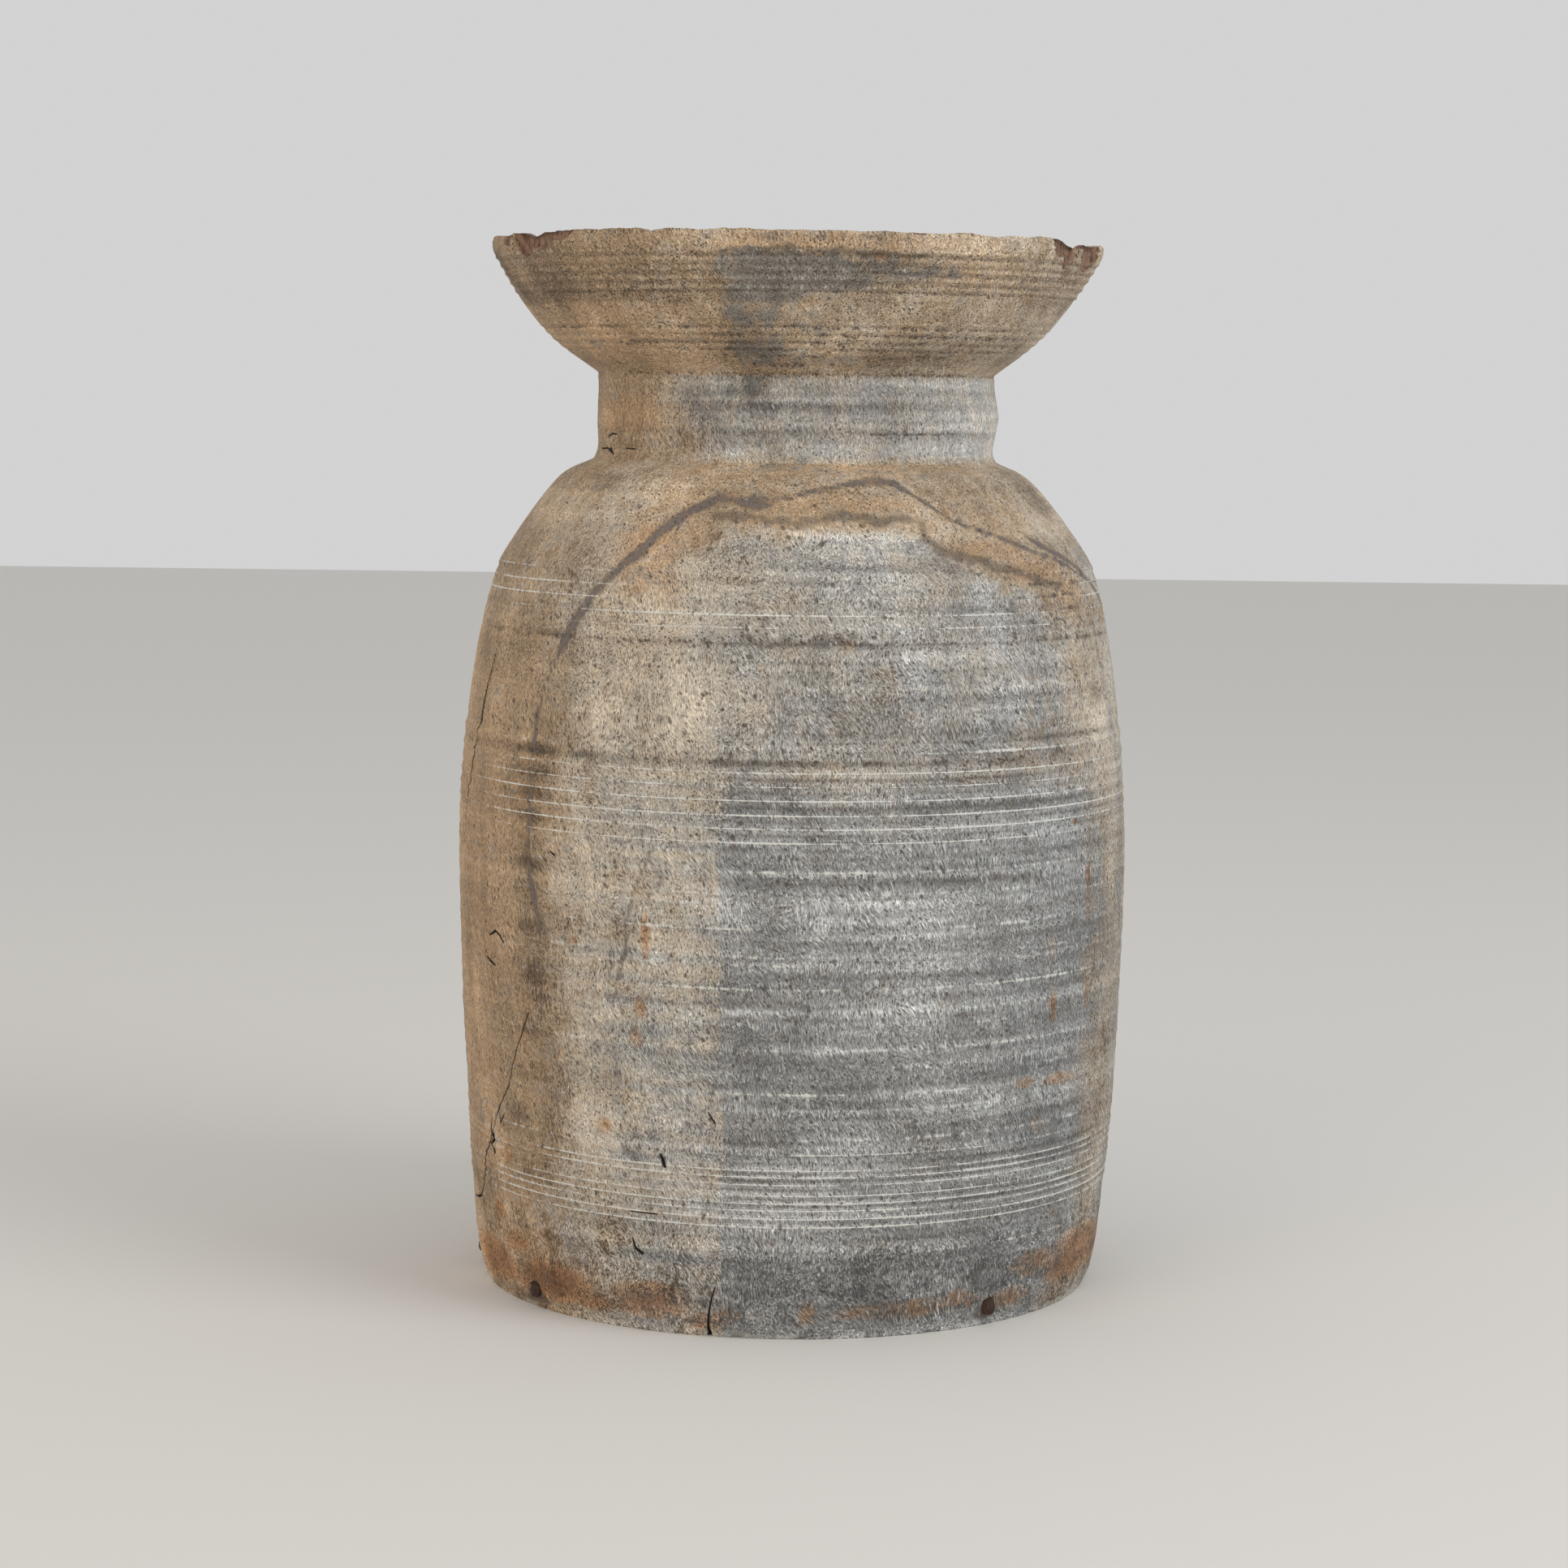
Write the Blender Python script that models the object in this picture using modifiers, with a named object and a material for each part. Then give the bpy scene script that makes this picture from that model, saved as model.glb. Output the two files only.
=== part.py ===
"""Turned wooden storage pot: one hollowed log with a flared mouth and a nailed-in bottom.

Metres, +Z up. The origin is the centre of the foot, on the surface that the pot stands on.
The front faces -Y, and every angle is counted from the front towards +X.
"""
import math

import bpy
from mathutils import Matrix, Vector

POT_NAME = "turned_wooden_pot"

# Driving dimensions
HEIGHT = 0.420                 # foot to lip
FOOT_RADIUS = 0.1230           # outer edge of the ring that stands on the floor
LIP_INNER_RADIUS = 0.1172
LIP_OUTER_RADIUS = 0.1216
CLEARANCE = 0.0003             # gap between pieces that touch
TURNING_STEPS = 48             # facets round every turned piece
MERGE_DISTANCE = 0.00001
SHARP_ANGLE = math.radians(32.0)

# Outside of the pot, as (radius, height) stations from the lip down. Each list is one smooth
# stretch, and the corner between two stretches is a tool mark where the log changes direction.
FLARE_OUTSIDE = [(0.1229, 0.4175), (0.1213, 0.4120), (0.1113, 0.3960), (0.0979, 0.3800), (0.0804, 0.3668)]
NECK_OUTSIDE = [(0.0802, 0.3662), (0.0802, 0.3610), (0.0812, 0.3485), (0.0800, 0.3370), (0.0812, 0.3322)]
BELLY_OUTSIDE = [
    (0.0812, 0.3322), (0.0958, 0.3240), (0.1144, 0.3000), (0.1237, 0.2800), (0.1314, 0.2400),
    (0.1360, 0.1850), (0.1350, 0.1200), (0.1313, 0.0600), (0.1278, 0.0200), (0.1254, 0.0055),
]

# Bottom: a round board in a rebate, held by nails through the wall and sealed with putty
REBATE_RADIUS = 0.1130
BOARD_INSET = 0.0015           # the board's underside above the foot
BOARD_THICKNESS = 0.0145
BOARD_BEVEL = 0.0008
PUTTY_WIDTH = 0.0016
PUTTY_INSET = 0.0022
REBATE_TOP = BOARD_INSET + BOARD_THICKNESS + CLEARANCE
BOARD_RADIUS = REBATE_RADIUS - PUTTY_WIDTH - 2.0 * CLEARANCE

# Inside of the pot, as (radius, height) stations from the ledge above the board up to the lip
INSIDE = [
    (0.1080, REBATE_TOP), (0.1165, 0.0700), (0.1215, 0.1300), (0.1225, 0.1850), (0.1180, 0.2400),
    (0.1060, 0.2800), (0.0850, 0.3080), (0.0722, 0.3300), (0.0712, 0.3600), (0.0900, 0.3815),
    (0.1055, 0.3995), (0.1150, 0.4150),
]

# Hand-forged nails, driven in through the wall near the foot: angles in degrees
NAIL_ANGLES = {
    "nail_left": -90.0,
    "nail_front_left": -51.5,
    "nail_front_right": 38.5,
    "nail_right": 98.0,
    "nail_back_right": 150.0,
    "nail_back_left": 208.0,
}
NAIL_HEIGHT = 0.0075
NAIL_SEAT_RADIUS = 0.1253      # the underside of the head, from the pot's axis
NAIL_LENGTH = 0.0300
NAIL_SHANK_WIDTH = 0.0030
NAIL_TIP_WIDTH = 0.0008
NAIL_HEAD_WIDTH = 0.0064
NAIL_HEAD_EDGE = 0.0010        # thickness of the head at its rim
NAIL_HEAD_RISE = 0.0021        # thickness of the head at its middle

# Pieces broken out of the lip: angle in degrees, centre radius and height, and the half sizes
# of the break along the rim, towards the axis and down the flare
LIP_BREAKS = {
    "break_left": (-62.0, 0.1265, 0.4205, (0.0120, 0.0110, 0.0085)),
    "break_left_bevel": (-51.0, 0.1262, 0.4215, (0.0140, 0.0060, 0.0065)),
    "break_right_crescent": (58.5, 0.1270, 0.4205, (0.0100, 0.0100, 0.0085)),
    "break_right": (71.5, 0.1275, 0.4215, (0.0180, 0.0125, 0.0120)),
}

# Colour, roughness and metallic value of each material
FINISHES = {
    "weathered_wood": ((0.335, 0.270, 0.205, 1.0), 0.82, 0.0),
    "bottom_board_wood": ((0.250, 0.185, 0.130, 1.0), 0.85, 0.0),
    "putty": ((0.520, 0.480, 0.420, 1.0), 0.90, 0.0),
    "rusted_iron": ((0.070, 0.040, 0.028, 1.0), 0.72, 0.6),
}


def clear_scene():
    for obj in list(bpy.data.objects):
        bpy.data.objects.remove(obj, do_unlink=True)


def new_collection(name):
    collection = bpy.data.collections.new(name)
    bpy.context.scene.collection.children.link(collection)
    return collection


def finish(name):
    """The material of one finish, made once and shared by every piece that has it."""
    if name in bpy.data.materials:
        return bpy.data.materials[name]
    color, roughness, metallic = FINISHES[name]
    material = bpy.data.materials.new(name)
    material.use_nodes = True
    shader = material.node_tree.nodes["Principled BSDF"]
    shader.inputs["Base Color"].default_value = color
    shader.inputs["Roughness"].default_value = roughness
    shader.inputs["Metallic"].default_value = metallic
    material.diffuse_color = color
    return material


def smooth_stretch(stations, points_per_span):
    """Points of a smooth curve through the stations, both ends included."""
    knots = [Vector(station) for station in stations]
    slopes = [knots[1] - knots[0]]
    slopes += [(after - before) / 2.0 for before, after in zip(knots, knots[2:])]
    slopes.append(knots[-1] - knots[-2])
    points = [knots[0]]
    for i in range(len(knots) - 1):
        for step in range(1, points_per_span + 1):
            t = step / points_per_span
            points.append(
                (2 * t**3 - 3 * t**2 + 1) * knots[i]
                + (t**3 - 2 * t**2 + t) * slopes[i]
                + (3 * t**2 - 2 * t**3) * knots[i + 1]
                + (t**3 - t**2) * slopes[i + 1]
            )
    return [tuple(point) for point in points]


def turned(name, outline, collection, steps=TURNING_STEPS, closed=True):
    """A solid of revolution about Z. Its outline runs down the outer side first."""
    edges = [(i, i + 1) for i in range(len(outline) - 1)]
    if closed:
        edges.append((len(outline) - 1, 0))
    profile = bpy.data.meshes.new(name + "_profile")
    profile.from_pydata([(radius, 0.0, height) for radius, height in outline], edges, [])
    obj = bpy.data.objects.new(name, profile)
    collection.objects.link(obj)
    screw = obj.modifiers.new("turning", "SCREW")
    screw.steps = steps
    screw.render_steps = steps
    screw.use_merge_vertices = True
    screw.merge_threshold = MERGE_DISTANCE
    settle(obj)
    return obj


def settle(obj):
    """Makes the modifiers' result the object's own mesh, smooth except across sharp corners."""
    bpy.context.view_layer.update()
    evaluated = obj.evaluated_get(bpy.context.evaluated_depsgraph_get())
    mesh = bpy.data.meshes.new_from_object(evaluated)
    obj.modifiers.clear()
    obj.data = mesh
    mesh.name = obj.name
    mesh.shade_smooth()
    mesh.set_sharp_from_angle(angle=SHARP_ANGLE)


def make_cutter(obj):
    obj.display_type = "WIRE"
    obj.hide_render = True


def cut(obj, cutters):
    """Takes every cutter away from the object."""
    for cutter in cutters:
        boolean = obj.modifiers.new("cut_" + cutter.name, "BOOLEAN")
        boolean.operation = "DIFFERENCE"
        boolean.solver = "EXACT"
        boolean.object = cutter


def facing_out(angle_degrees, radius, height):
    """The place of something on the wall: local Z points away from the axis, local Y up."""
    angle = math.radians(angle_degrees)
    outward = Vector((math.sin(angle), -math.cos(angle), 0.0))
    place = Matrix.Translation(outward * radius + Vector((0.0, 0.0, height)))
    return place @ outward.to_track_quat("Z", "Y").to_matrix().to_4x4()


def pot_outline():
    """The whole wall in section: lip, outside down to the foot, rebate, inside up to the lip."""
    lip = [(LIP_INNER_RADIUS, HEIGHT), (LIP_OUTER_RADIUS, HEIGHT)]
    flare = smooth_stretch(FLARE_OUTSIDE, 2)
    neck = smooth_stretch(NECK_OUTSIDE, 2)
    belly = smooth_stretch(BELLY_OUTSIDE, 2)[1:]
    foot = [(FOOT_RADIUS, 0.0), (REBATE_RADIUS, 0.0), (REBATE_RADIUS, REBATE_TOP)]
    inside = smooth_stretch(INSIDE, 2)
    return lip + flare + neck + belly + foot + inside


def nail_outline(extra=0.0):
    """A nail about its own axis: head upwards from 0, shank down. extra is a margin all round."""
    head = (NAIL_HEAD_WIDTH / 2.0 + extra) * math.sqrt(2.0)
    shank = (NAIL_SHANK_WIDTH / 2.0 + extra) * math.sqrt(2.0)
    tip = (NAIL_TIP_WIDTH / 2.0 + extra) * math.sqrt(2.0)
    return [
        (0.0, NAIL_HEAD_RISE + extra),
        (head * 0.45, NAIL_HEAD_RISE + extra),
        (head, NAIL_HEAD_EDGE + extra),
        (head, -extra),
        (shank, -extra),
        (tip, -NAIL_LENGTH - extra),
        (0.0, -NAIL_LENGTH - extra),
    ]


def place_nail(obj, angle_degrees):
    """Square shank with its flats level, pointing at the pot's axis."""
    level = Matrix.Rotation(math.radians(45.0), 4, "Z")
    obj.matrix_world = facing_out(angle_degrees, NAIL_SEAT_RADIUS, NAIL_HEIGHT) @ level


def build_nails(pieces, cutters):
    """The nails, and the holes that they sit in."""
    holes = []
    for name, angle in NAIL_ANGLES.items():
        nail = turned(name, nail_outline(), pieces, steps=4, closed=False)
        nail.data.materials.append(finish("rusted_iron"))
        place_nail(nail, angle)
        hole = turned(name + "_hole", nail_outline(CLEARANCE), cutters, steps=4, closed=False)
        place_nail(hole, angle)
        make_cutter(hole)
        holes.append(hole)
    return holes


def build_lip_breaks(cutters):
    """Ellipsoids that scoop the broken places out of the lip."""
    breaks = []
    for name, (angle, radius, height, (along, inward, down)) in LIP_BREAKS.items():
        bpy.ops.mesh.primitive_uv_sphere_add(segments=20, ring_count=12, radius=1.0)
        scoop = bpy.context.active_object
        scoop.name = name
        for collection in list(scoop.users_collection):
            collection.objects.unlink(scoop)
        cutters.objects.link(scoop)
        scoop.matrix_world = facing_out(angle, radius, height) @ Matrix.Diagonal((along, down, inward, 1.0))
        make_cutter(scoop)
        breaks.append(scoop)
    return breaks


def build_vessel_body(pieces, nail_holes, lip_breaks):
    body = turned("vessel_body", pot_outline(), pieces)
    body.data.materials.append(finish("weathered_wood"))
    cut(body, nail_holes + lip_breaks)


def build_bottom_board(pieces, nail_holes):
    low = BOARD_INSET
    high = BOARD_INSET + BOARD_THICKNESS
    outline = [
        (0.0, high),
        (BOARD_RADIUS - BOARD_BEVEL, high),
        (BOARD_RADIUS, high - BOARD_BEVEL),
        (BOARD_RADIUS, low + BOARD_BEVEL),
        (BOARD_RADIUS - BOARD_BEVEL, low),
        (0.0, low),
    ]
    board = turned("bottom_board", outline, pieces, closed=False)
    board.data.materials.append(finish("bottom_board_wood"))
    cut(board, nail_holes)


def build_putty_seal(pieces, nail_holes):
    outer = REBATE_RADIUS - CLEARANCE
    inner = outer - PUTTY_WIDTH
    high = REBATE_TOP - CLEARANCE
    outline = [
        (inner, high),
        (outer, high),
        (outer, PUTTY_INSET),
        (inner, PUTTY_INSET),
    ]
    seal = turned("putty_seal", outline, pieces)
    seal.data.materials.append(finish("putty"))
    cut(seal, nail_holes)


def main():
    clear_scene()
    pieces = new_collection(POT_NAME)
    cutters = new_collection("cutters")
    nail_holes = build_nails(pieces, cutters)
    lip_breaks = build_lip_breaks(cutters)
    build_vessel_body(pieces, nail_holes, lip_breaks)
    build_bottom_board(pieces, nail_holes)
    build_putty_seal(pieces, nail_holes)
    bpy.context.view_layer.update()


main()
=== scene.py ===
"""Looks of the weathered turned wooden pot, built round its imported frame.

Metres, +Z up, the front towards -Y. An angle on the pot is counted from the front towards +X.
Most lists below give a place on the wall as (angle in degrees, height in millimetres).
"""
import math

import bmesh
import bpy
import numpy as np
from mathutils import Matrix, Vector


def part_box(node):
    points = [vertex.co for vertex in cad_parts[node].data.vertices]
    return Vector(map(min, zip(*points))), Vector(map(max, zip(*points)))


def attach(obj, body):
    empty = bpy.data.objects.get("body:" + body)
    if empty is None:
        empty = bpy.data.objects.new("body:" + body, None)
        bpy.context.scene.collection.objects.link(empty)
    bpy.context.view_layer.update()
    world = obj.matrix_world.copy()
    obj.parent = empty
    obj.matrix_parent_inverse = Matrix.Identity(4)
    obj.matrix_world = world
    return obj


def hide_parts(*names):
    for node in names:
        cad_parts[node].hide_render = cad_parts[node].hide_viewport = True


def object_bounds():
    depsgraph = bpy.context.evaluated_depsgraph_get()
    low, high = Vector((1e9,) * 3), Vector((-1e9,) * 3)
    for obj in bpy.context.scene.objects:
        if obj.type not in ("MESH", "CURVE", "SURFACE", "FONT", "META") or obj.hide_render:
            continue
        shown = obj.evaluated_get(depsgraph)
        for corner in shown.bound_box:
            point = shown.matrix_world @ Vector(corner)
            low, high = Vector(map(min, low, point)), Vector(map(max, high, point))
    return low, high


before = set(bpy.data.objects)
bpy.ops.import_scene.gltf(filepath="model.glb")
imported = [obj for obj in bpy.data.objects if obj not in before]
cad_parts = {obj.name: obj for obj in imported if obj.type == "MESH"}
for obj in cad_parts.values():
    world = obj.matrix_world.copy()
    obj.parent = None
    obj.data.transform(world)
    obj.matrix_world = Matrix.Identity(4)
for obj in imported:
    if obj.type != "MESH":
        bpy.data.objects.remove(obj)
cad_low, cad_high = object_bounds()

MM = 0.001
TURN = 2.0 * math.pi
POT_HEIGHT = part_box("vessel_body")[1][2]
NAIL_NODES = [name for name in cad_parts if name.startswith("nail_")]

# ---------------------------------------------------------------------------- outline of the pot
# (radius, height) stations in metres, from the lip down the outside and from the foot up inside.
FLARE_OUTSIDE = [(0.1229, 0.4175), (0.1213, 0.4120), (0.1113, 0.3960), (0.0979, 0.3800), (0.0804, 0.3668)]
NECK_OUTSIDE = [(0.0802, 0.3662), (0.0802, 0.3610), (0.0812, 0.3485), (0.0800, 0.3370), (0.0812, 0.3322)]
BELLY_OUTSIDE = [
    (0.0812, 0.3322), (0.0958, 0.3240), (0.1144, 0.3000), (0.1237, 0.2800), (0.1314, 0.2400),
    (0.1354, 0.1850), (0.1346, 0.1200), (0.1313, 0.0600), (0.1278, 0.0200), (0.1254, 0.0055),
]
FOOT_RADIUS = 0.1230
REBATE_RADIUS = 0.1130
REBATE_TOP = 0.0163
INSIDE = [
    (0.1080, REBATE_TOP), (0.1165, 0.0700), (0.1215, 0.1300), (0.1225, 0.1850), (0.1180, 0.2400),
    (0.1060, 0.2800), (0.0850, 0.3080), (0.0722, 0.3300), (0.0712, 0.3600), (0.0900, 0.3815),
    (0.1055, 0.3995), (0.1150, 0.4150),
]
FOOT_RING = [(0.1222, 0.0), (0.1200, 0.0), (0.1165, 0.0), (0.1140, 0.0), (REBATE_RADIUS, 0.0005)]
REBATE_WALL = [(REBATE_RADIUS, height) for height in (0.004, 0.008, 0.012, 0.0155, REBATE_TOP)]
REBATE_LEDGE = [(0.1105, REBATE_TOP)]
LIP_TOP = [(0.1163, 0.4185), (0.1172, 0.4197), (0.1185, POT_HEIGHT), (0.1202, POT_HEIGHT)]
LIP_INNER_RADIUS = 0.1168
LIP_OUTER_RADIUS = 0.1218
SKIN = 0.0002                  # the wall stands this far inside the CAD outline

# Mesh density of the wall
COLUMNS = 600
ROW_STEP = 1.8 * MM
INSIDE_ROW_STEP = 3.5 * MM
CLOSEST_ROWS = 0.24 * MM
LIP_ROWS = (11.0, 26)          # more rows below the lip: over how many mm, and how many
FOOT_ROWS = (6.0, 12)          # and above the foot
CURVE_POINTS = 24              # to each span between two stations
SHARP_ANGLE = math.radians(50)

# The baked sheet: shares of its height, and its width in turns, for faces that cross the seam
OUTSIDE_SHARE = 0.72
INSIDE_SHARE = 0.98 - OUTSIDE_SHARE
SHEET_TURNS = 1.02

# How far the wood has warped sideways, as (height in mm, shift in mm towards +X)
WARP = [(0, -0.5), (80, 0.8), (200, 0.0), (300, 0.3), (335, -0.6), (350, 0.6), (376, -1.2), (420, -0.5)]

# Lathe marks come in bands of rings, with sizes in mm: (lowest ridge, highest ridge, number of
# ridges, how far they stray from even spacing, their height, their half width, depth of the
# hollows between them)
RING_BANDS = [
    (44.5, 67.5, 8, 0.5, 0.24, 0.40, 0.28),
    (73.0, 182.0, 15, 2.4, 0.13, 0.55, 0.19),
    (191.5, 217.5, 6, 0.4, 0.25, 0.40, 0.28),
    (271.5, 291.0, 5, 0.2, 0.16, 0.36, 0.12),
    (374.0, 385.0, 5, 0.2, 0.13, 0.36, 0.28),
    (398.0, 411.5, 5, 0.1, 0.27, 0.50, 0.32),
]
RING_SEED = 13
RING_HEIGHTS = (0.75, 1.25)    # lowest and highest ridge of a band, as shares of its height
HOLLOW_SHARE = 0.18            # half width of a hollow, as a share of the gap between its ridges
# Marks that stand alone: (height, height or depth, half width)
LONE_RIDGES = [
    (34.0, 0.10, 0.5), (225.0, 0.20, 0.5), (232.0, 0.06, 0.6), (332.6, 0.20, 0.5), (350.0, 0.10, 0.9),
]
LONE_HOLLOWS = [
    (39.5, 0.20, 1.2), (69.5, 0.26, 0.9), (186.0, 0.20, 1.3), (221.0, 0.48, 1.5), (229.0, 0.26, 1.2),
    (265.5, 0.26, 0.6), (343.5, 0.12, 0.4), (366.0, 0.30, 0.6), (396.8, 0.34, 0.5),
]
# The wall steps in at a ledge: (height, depth, how far below it the step begins), in mm
LEDGE = (227.5, 0.45, 2.5)
LEDGE_END = 0.290              # the height in metres where the wall is out again

# Worn and nicked places of the lip: (degrees, depth in mm, half width in degrees)
LIP_NICKS = [
    (-150, 1.2, 16), (-72, 0.9, 6), (-57.5, 2.5, 3), (-27, 0.9, 2), (-17, 0.7, 3), (24, 1.1, 7),
    (38, 1.4, 5), (47, 0.9, 4), (63.5, 4.0, 6), (74, 2.7, 9), (84, 3.0, 5), (125, 1.4, 14),
]
LIP_WEAR = (0.3, 0.3)          # mm: the wear of the rest of the lip, and how far it varies
LIP_DROP_REACH = 9.0           # mm below the lip over which the wall follows its edge
# Places where the lip's outer skin has split away: (degrees, height, half length along the rim,
# depth towards the axis, half height), all but the first in mm
LIP_SCARS = [
    (-60.5, 418.4, 9.0, 5.0, 7.6),
    (-68.5, 420.5, 6.0, 2.2, 6.0),
    (-53.6, 421.6, 9.5, 3.4, 9.2),
    (-49.0, 422.5, 11.0, 2.6, 6.6),
    (57.0, 420.5, 8.0, 3.8, 8.0),
    (60.8, 419.0, 6.0, 4.2, 11.0),
    (72.5, 418.0, 15.0, 4.6, 11.0),
    (22.0, 421.5, 5.0, 1.4, 4.0),
]


def smooth_stretch(stations, points_per_span):
    """Points of a smooth curve through the stations, both ends included."""
    knots = np.array(stations)
    slopes = np.vstack([knots[1] - knots[0], (knots[2:] - knots[:-2]) / 2.0, knots[-1] - knots[-2]])
    points = [knots[:1]]
    t = (np.arange(points_per_span) + 1.0)[:, None] / points_per_span
    for a, b, slope_a, slope_b in zip(knots, knots[1:], slopes, slopes[1:]):
        points.append(
            (2 * t**3 - 3 * t**2 + 1) * a + (t**3 - 2 * t**2 + t) * slope_a
            + (3 * t**2 - 2 * t**3) * b + (t**3 - t**2) * slope_b
        )
    return np.vstack(points)


def outside_outline():
    """The outside as a fine polyline, foot first."""
    stretches = [smooth_stretch(s, CURVE_POINTS) for s in (FLARE_OUTSIDE, NECK_OUTSIDE, BELLY_OUTSIDE)]
    top = [(LIP_OUTER_RADIUS, POT_HEIGHT)]
    outline = np.vstack([top, *stretches, [(FOOT_RADIUS, 0.0)]])[::-1]
    outline[:, 0] -= SKIN
    outline[:, 1] = np.maximum.accumulate(outline[:, 1] + np.arange(len(outline)) * 1e-9)
    return outline


OUTLINE = outside_outline()
ARC = np.concatenate([[0.0], np.cumsum(np.hypot(*np.diff(OUTLINE, axis=0).T))])


def outer_radius(height):
    return np.interp(height, OUTLINE[:, 1], OUTLINE[:, 0])


def outer_arc(height):
    """Distance along the outside from the foot."""
    return np.interp(height, OUTLINE[:, 1], ARC)


def outer_slope(height):
    """The wall's outward normal, as (radial part, upward part)."""
    step = 0.6 * MM
    rise = outer_radius(height + step) - outer_radius(height - step)
    length = np.hypot(2 * step, rise)
    return 2 * step / length, -rise / length


# ------------------------------------------------------------------------------- smooth variation
def ring_noise(angle, height, around, pitch, seed):
    """Smooth values from -1 to 1 on the wall: `around` cells a turn, each `pitch` metres high."""
    rows = int(POT_HEIGHT / pitch) + 4
    lattice = np.random.default_rng(seed).uniform(-1.0, 1.0, (rows, around))
    u = (angle / TURN) % 1.0 * around
    v = np.clip(height / pitch + 1.0, 0.0, rows - 2.001)
    column, row = np.floor(u).astype(int), np.floor(v).astype(int)
    ease_u, ease_v = (t * t * (3.0 - 2.0 * t) for t in (u - column, v - row))
    left, right = column % around, (column + 1) % around
    low = lattice[row, left] * (1 - ease_u) + lattice[row, right] * ease_u
    high = lattice[row + 1, left] * (1 - ease_u) + lattice[row + 1, right] * ease_u
    return low * (1 - ease_v) + high * ease_v


def ease(value, low, high):
    """0 below low, 1 above high, and smooth between."""
    t = np.clip((value - low) / (high - low), 0.0, 1.0)
    return t * t * (3.0 - 2.0 * t)


def read_table(place, table):
    """The value at a place, from a table of (place, value)."""
    places, values = np.array(table).T
    return np.interp(place, places, values)


# --------------------------------------------------------------------------------- mesh helpers
def turned(section, columns):
    """Angles, heights and radii of a (radius, height) section turned round the axis."""
    angle = np.linspace(-math.pi, math.pi, columns, endpoint=False)
    angles, heights = np.meshgrid(angle, section[:, 1])
    return angles, heights, np.repeat(section[:, :1], columns, axis=1)


def round_axis(angles, heights, radii):
    """Points at these angles, heights and radii."""
    return np.stack([radii * np.sin(angles), -radii * np.cos(angles), heights], axis=-1)


def grid_mesh(name, grid):
    """A closed mesh from a grid that joins up both ways."""
    rows, columns = grid.shape[:2]
    index = np.arange(rows * columns).reshape(rows, columns)
    right = np.roll(index, -1, axis=1)
    corners = np.stack([index, np.roll(index, -1, axis=0), np.roll(right, -1, axis=0), right], axis=-1)
    mesh = bpy.data.meshes.new(name)
    mesh.from_pydata(grid.reshape(-1, 3).tolist(), [], corners.reshape(-1, 4).tolist())
    mesh.shade_smooth()
    return mesh


def capped_mesh(name, grid):
    """A mesh from a grid that joins up round an axis, closed at both ends by a fan."""
    rows, columns = grid.shape[:2]
    index = np.arange(rows * columns).reshape(rows, columns)
    right = np.roll(index, -1, axis=1)
    quads = np.stack([index[:-1], index[1:], right[1:], right[:-1]], axis=-1).reshape(-1, 4).tolist()
    points = grid.reshape(-1, 3).tolist()
    for row, turn in ((0, 1), (rows - 1, -1)):
        points.append(grid[row].mean(axis=0).tolist())
        centre = len(points) - 1
        loop = index[row].tolist()
        following = loop[1:] + loop[:1]
        quads += [(centre, a, b)[::turn] for a, b in zip(loop, following)]
    mesh = bpy.data.meshes.new(name)
    mesh.from_pydata(points, [], quads)
    mesh.shade_smooth()
    mesh.set_sharp_from_angle(angle=SHARP_ANGLE)
    return mesh


def add_object(name, mesh):
    obj = bpy.data.objects.new(name, mesh)
    bpy.context.scene.collection.objects.link(obj)
    return obj


def vertex_points(mesh):
    """The places of a mesh's corners."""
    points = np.empty(len(mesh.vertices) * 3, np.float32)
    mesh.vertices.foreach_get("co", points)
    return points.reshape(-1, 3).astype(float)


def add_field(mesh, name, values):
    attribute = mesh.attributes.new(name, "FLOAT", "POINT")
    attribute.data.foreach_set("value", np.ascontiguousarray(values, np.float32))


def read_field(mesh, name):
    values = np.empty(len(mesh.vertices), np.float32)
    mesh.attributes[name].data.foreach_get("value", values)
    return values


# ------------------------------------------------------------------------------- the wall's mesh
def ring_strength(angle, height_mm, seed):
    """How clear one lathe mark is round the pot: marks fade out and come back."""
    wander = ring_noise(angle, np.full_like(angle, height_mm * MM), 22, 0.004, seed)
    return np.clip(0.85 + 0.50 * wander, 0.25, 1.2)


def ring_marks():
    """Every ridge and hollow, as (height, height or depth, half width) in mm."""
    random = np.random.default_rng(RING_SEED)
    ridges, hollows = list(LONE_RIDGES), list(LONE_HOLLOWS)
    for low, high, count, stray, rise, half_width, depth in RING_BANDS:
        places = np.linspace(low, high, count) + random.uniform(-stray, stray, count)
        rises = rise * random.uniform(*RING_HEIGHTS, count)
        ridges += [(place, size, half_width) for place, size in zip(places, rises)]
        hollows += [
            ((below + above) / 2.0, depth, HOLLOW_SHARE * (above - below))
            for below, above in zip(places, places[1:])
        ]
    return ridges, hollows


RIDGES, HOLLOWS = ring_marks()


def lathe_marks(angle, height):
    """Ridges and hollows, as a height above the smooth wall."""
    relief = np.zeros_like(height)
    for marks, sign, seed in ((RIDGES, 1.0, 11), (HOLLOWS, -1.0, 12)):
        for place, size, width in marks:
            row = np.abs(height - place * MM) < 3.5 * width * MM
            shape = np.exp(-(((height[row] - place * MM) / (width * MM)) ** 2))
            relief[row] += sign * size * MM * shape * ring_strength(angle[row], place, seed)
    place, size, width = LEDGE
    return relief - size * MM * ease(height, (place - width) * MM, place * MM) * (height < LEDGE_END)


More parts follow.
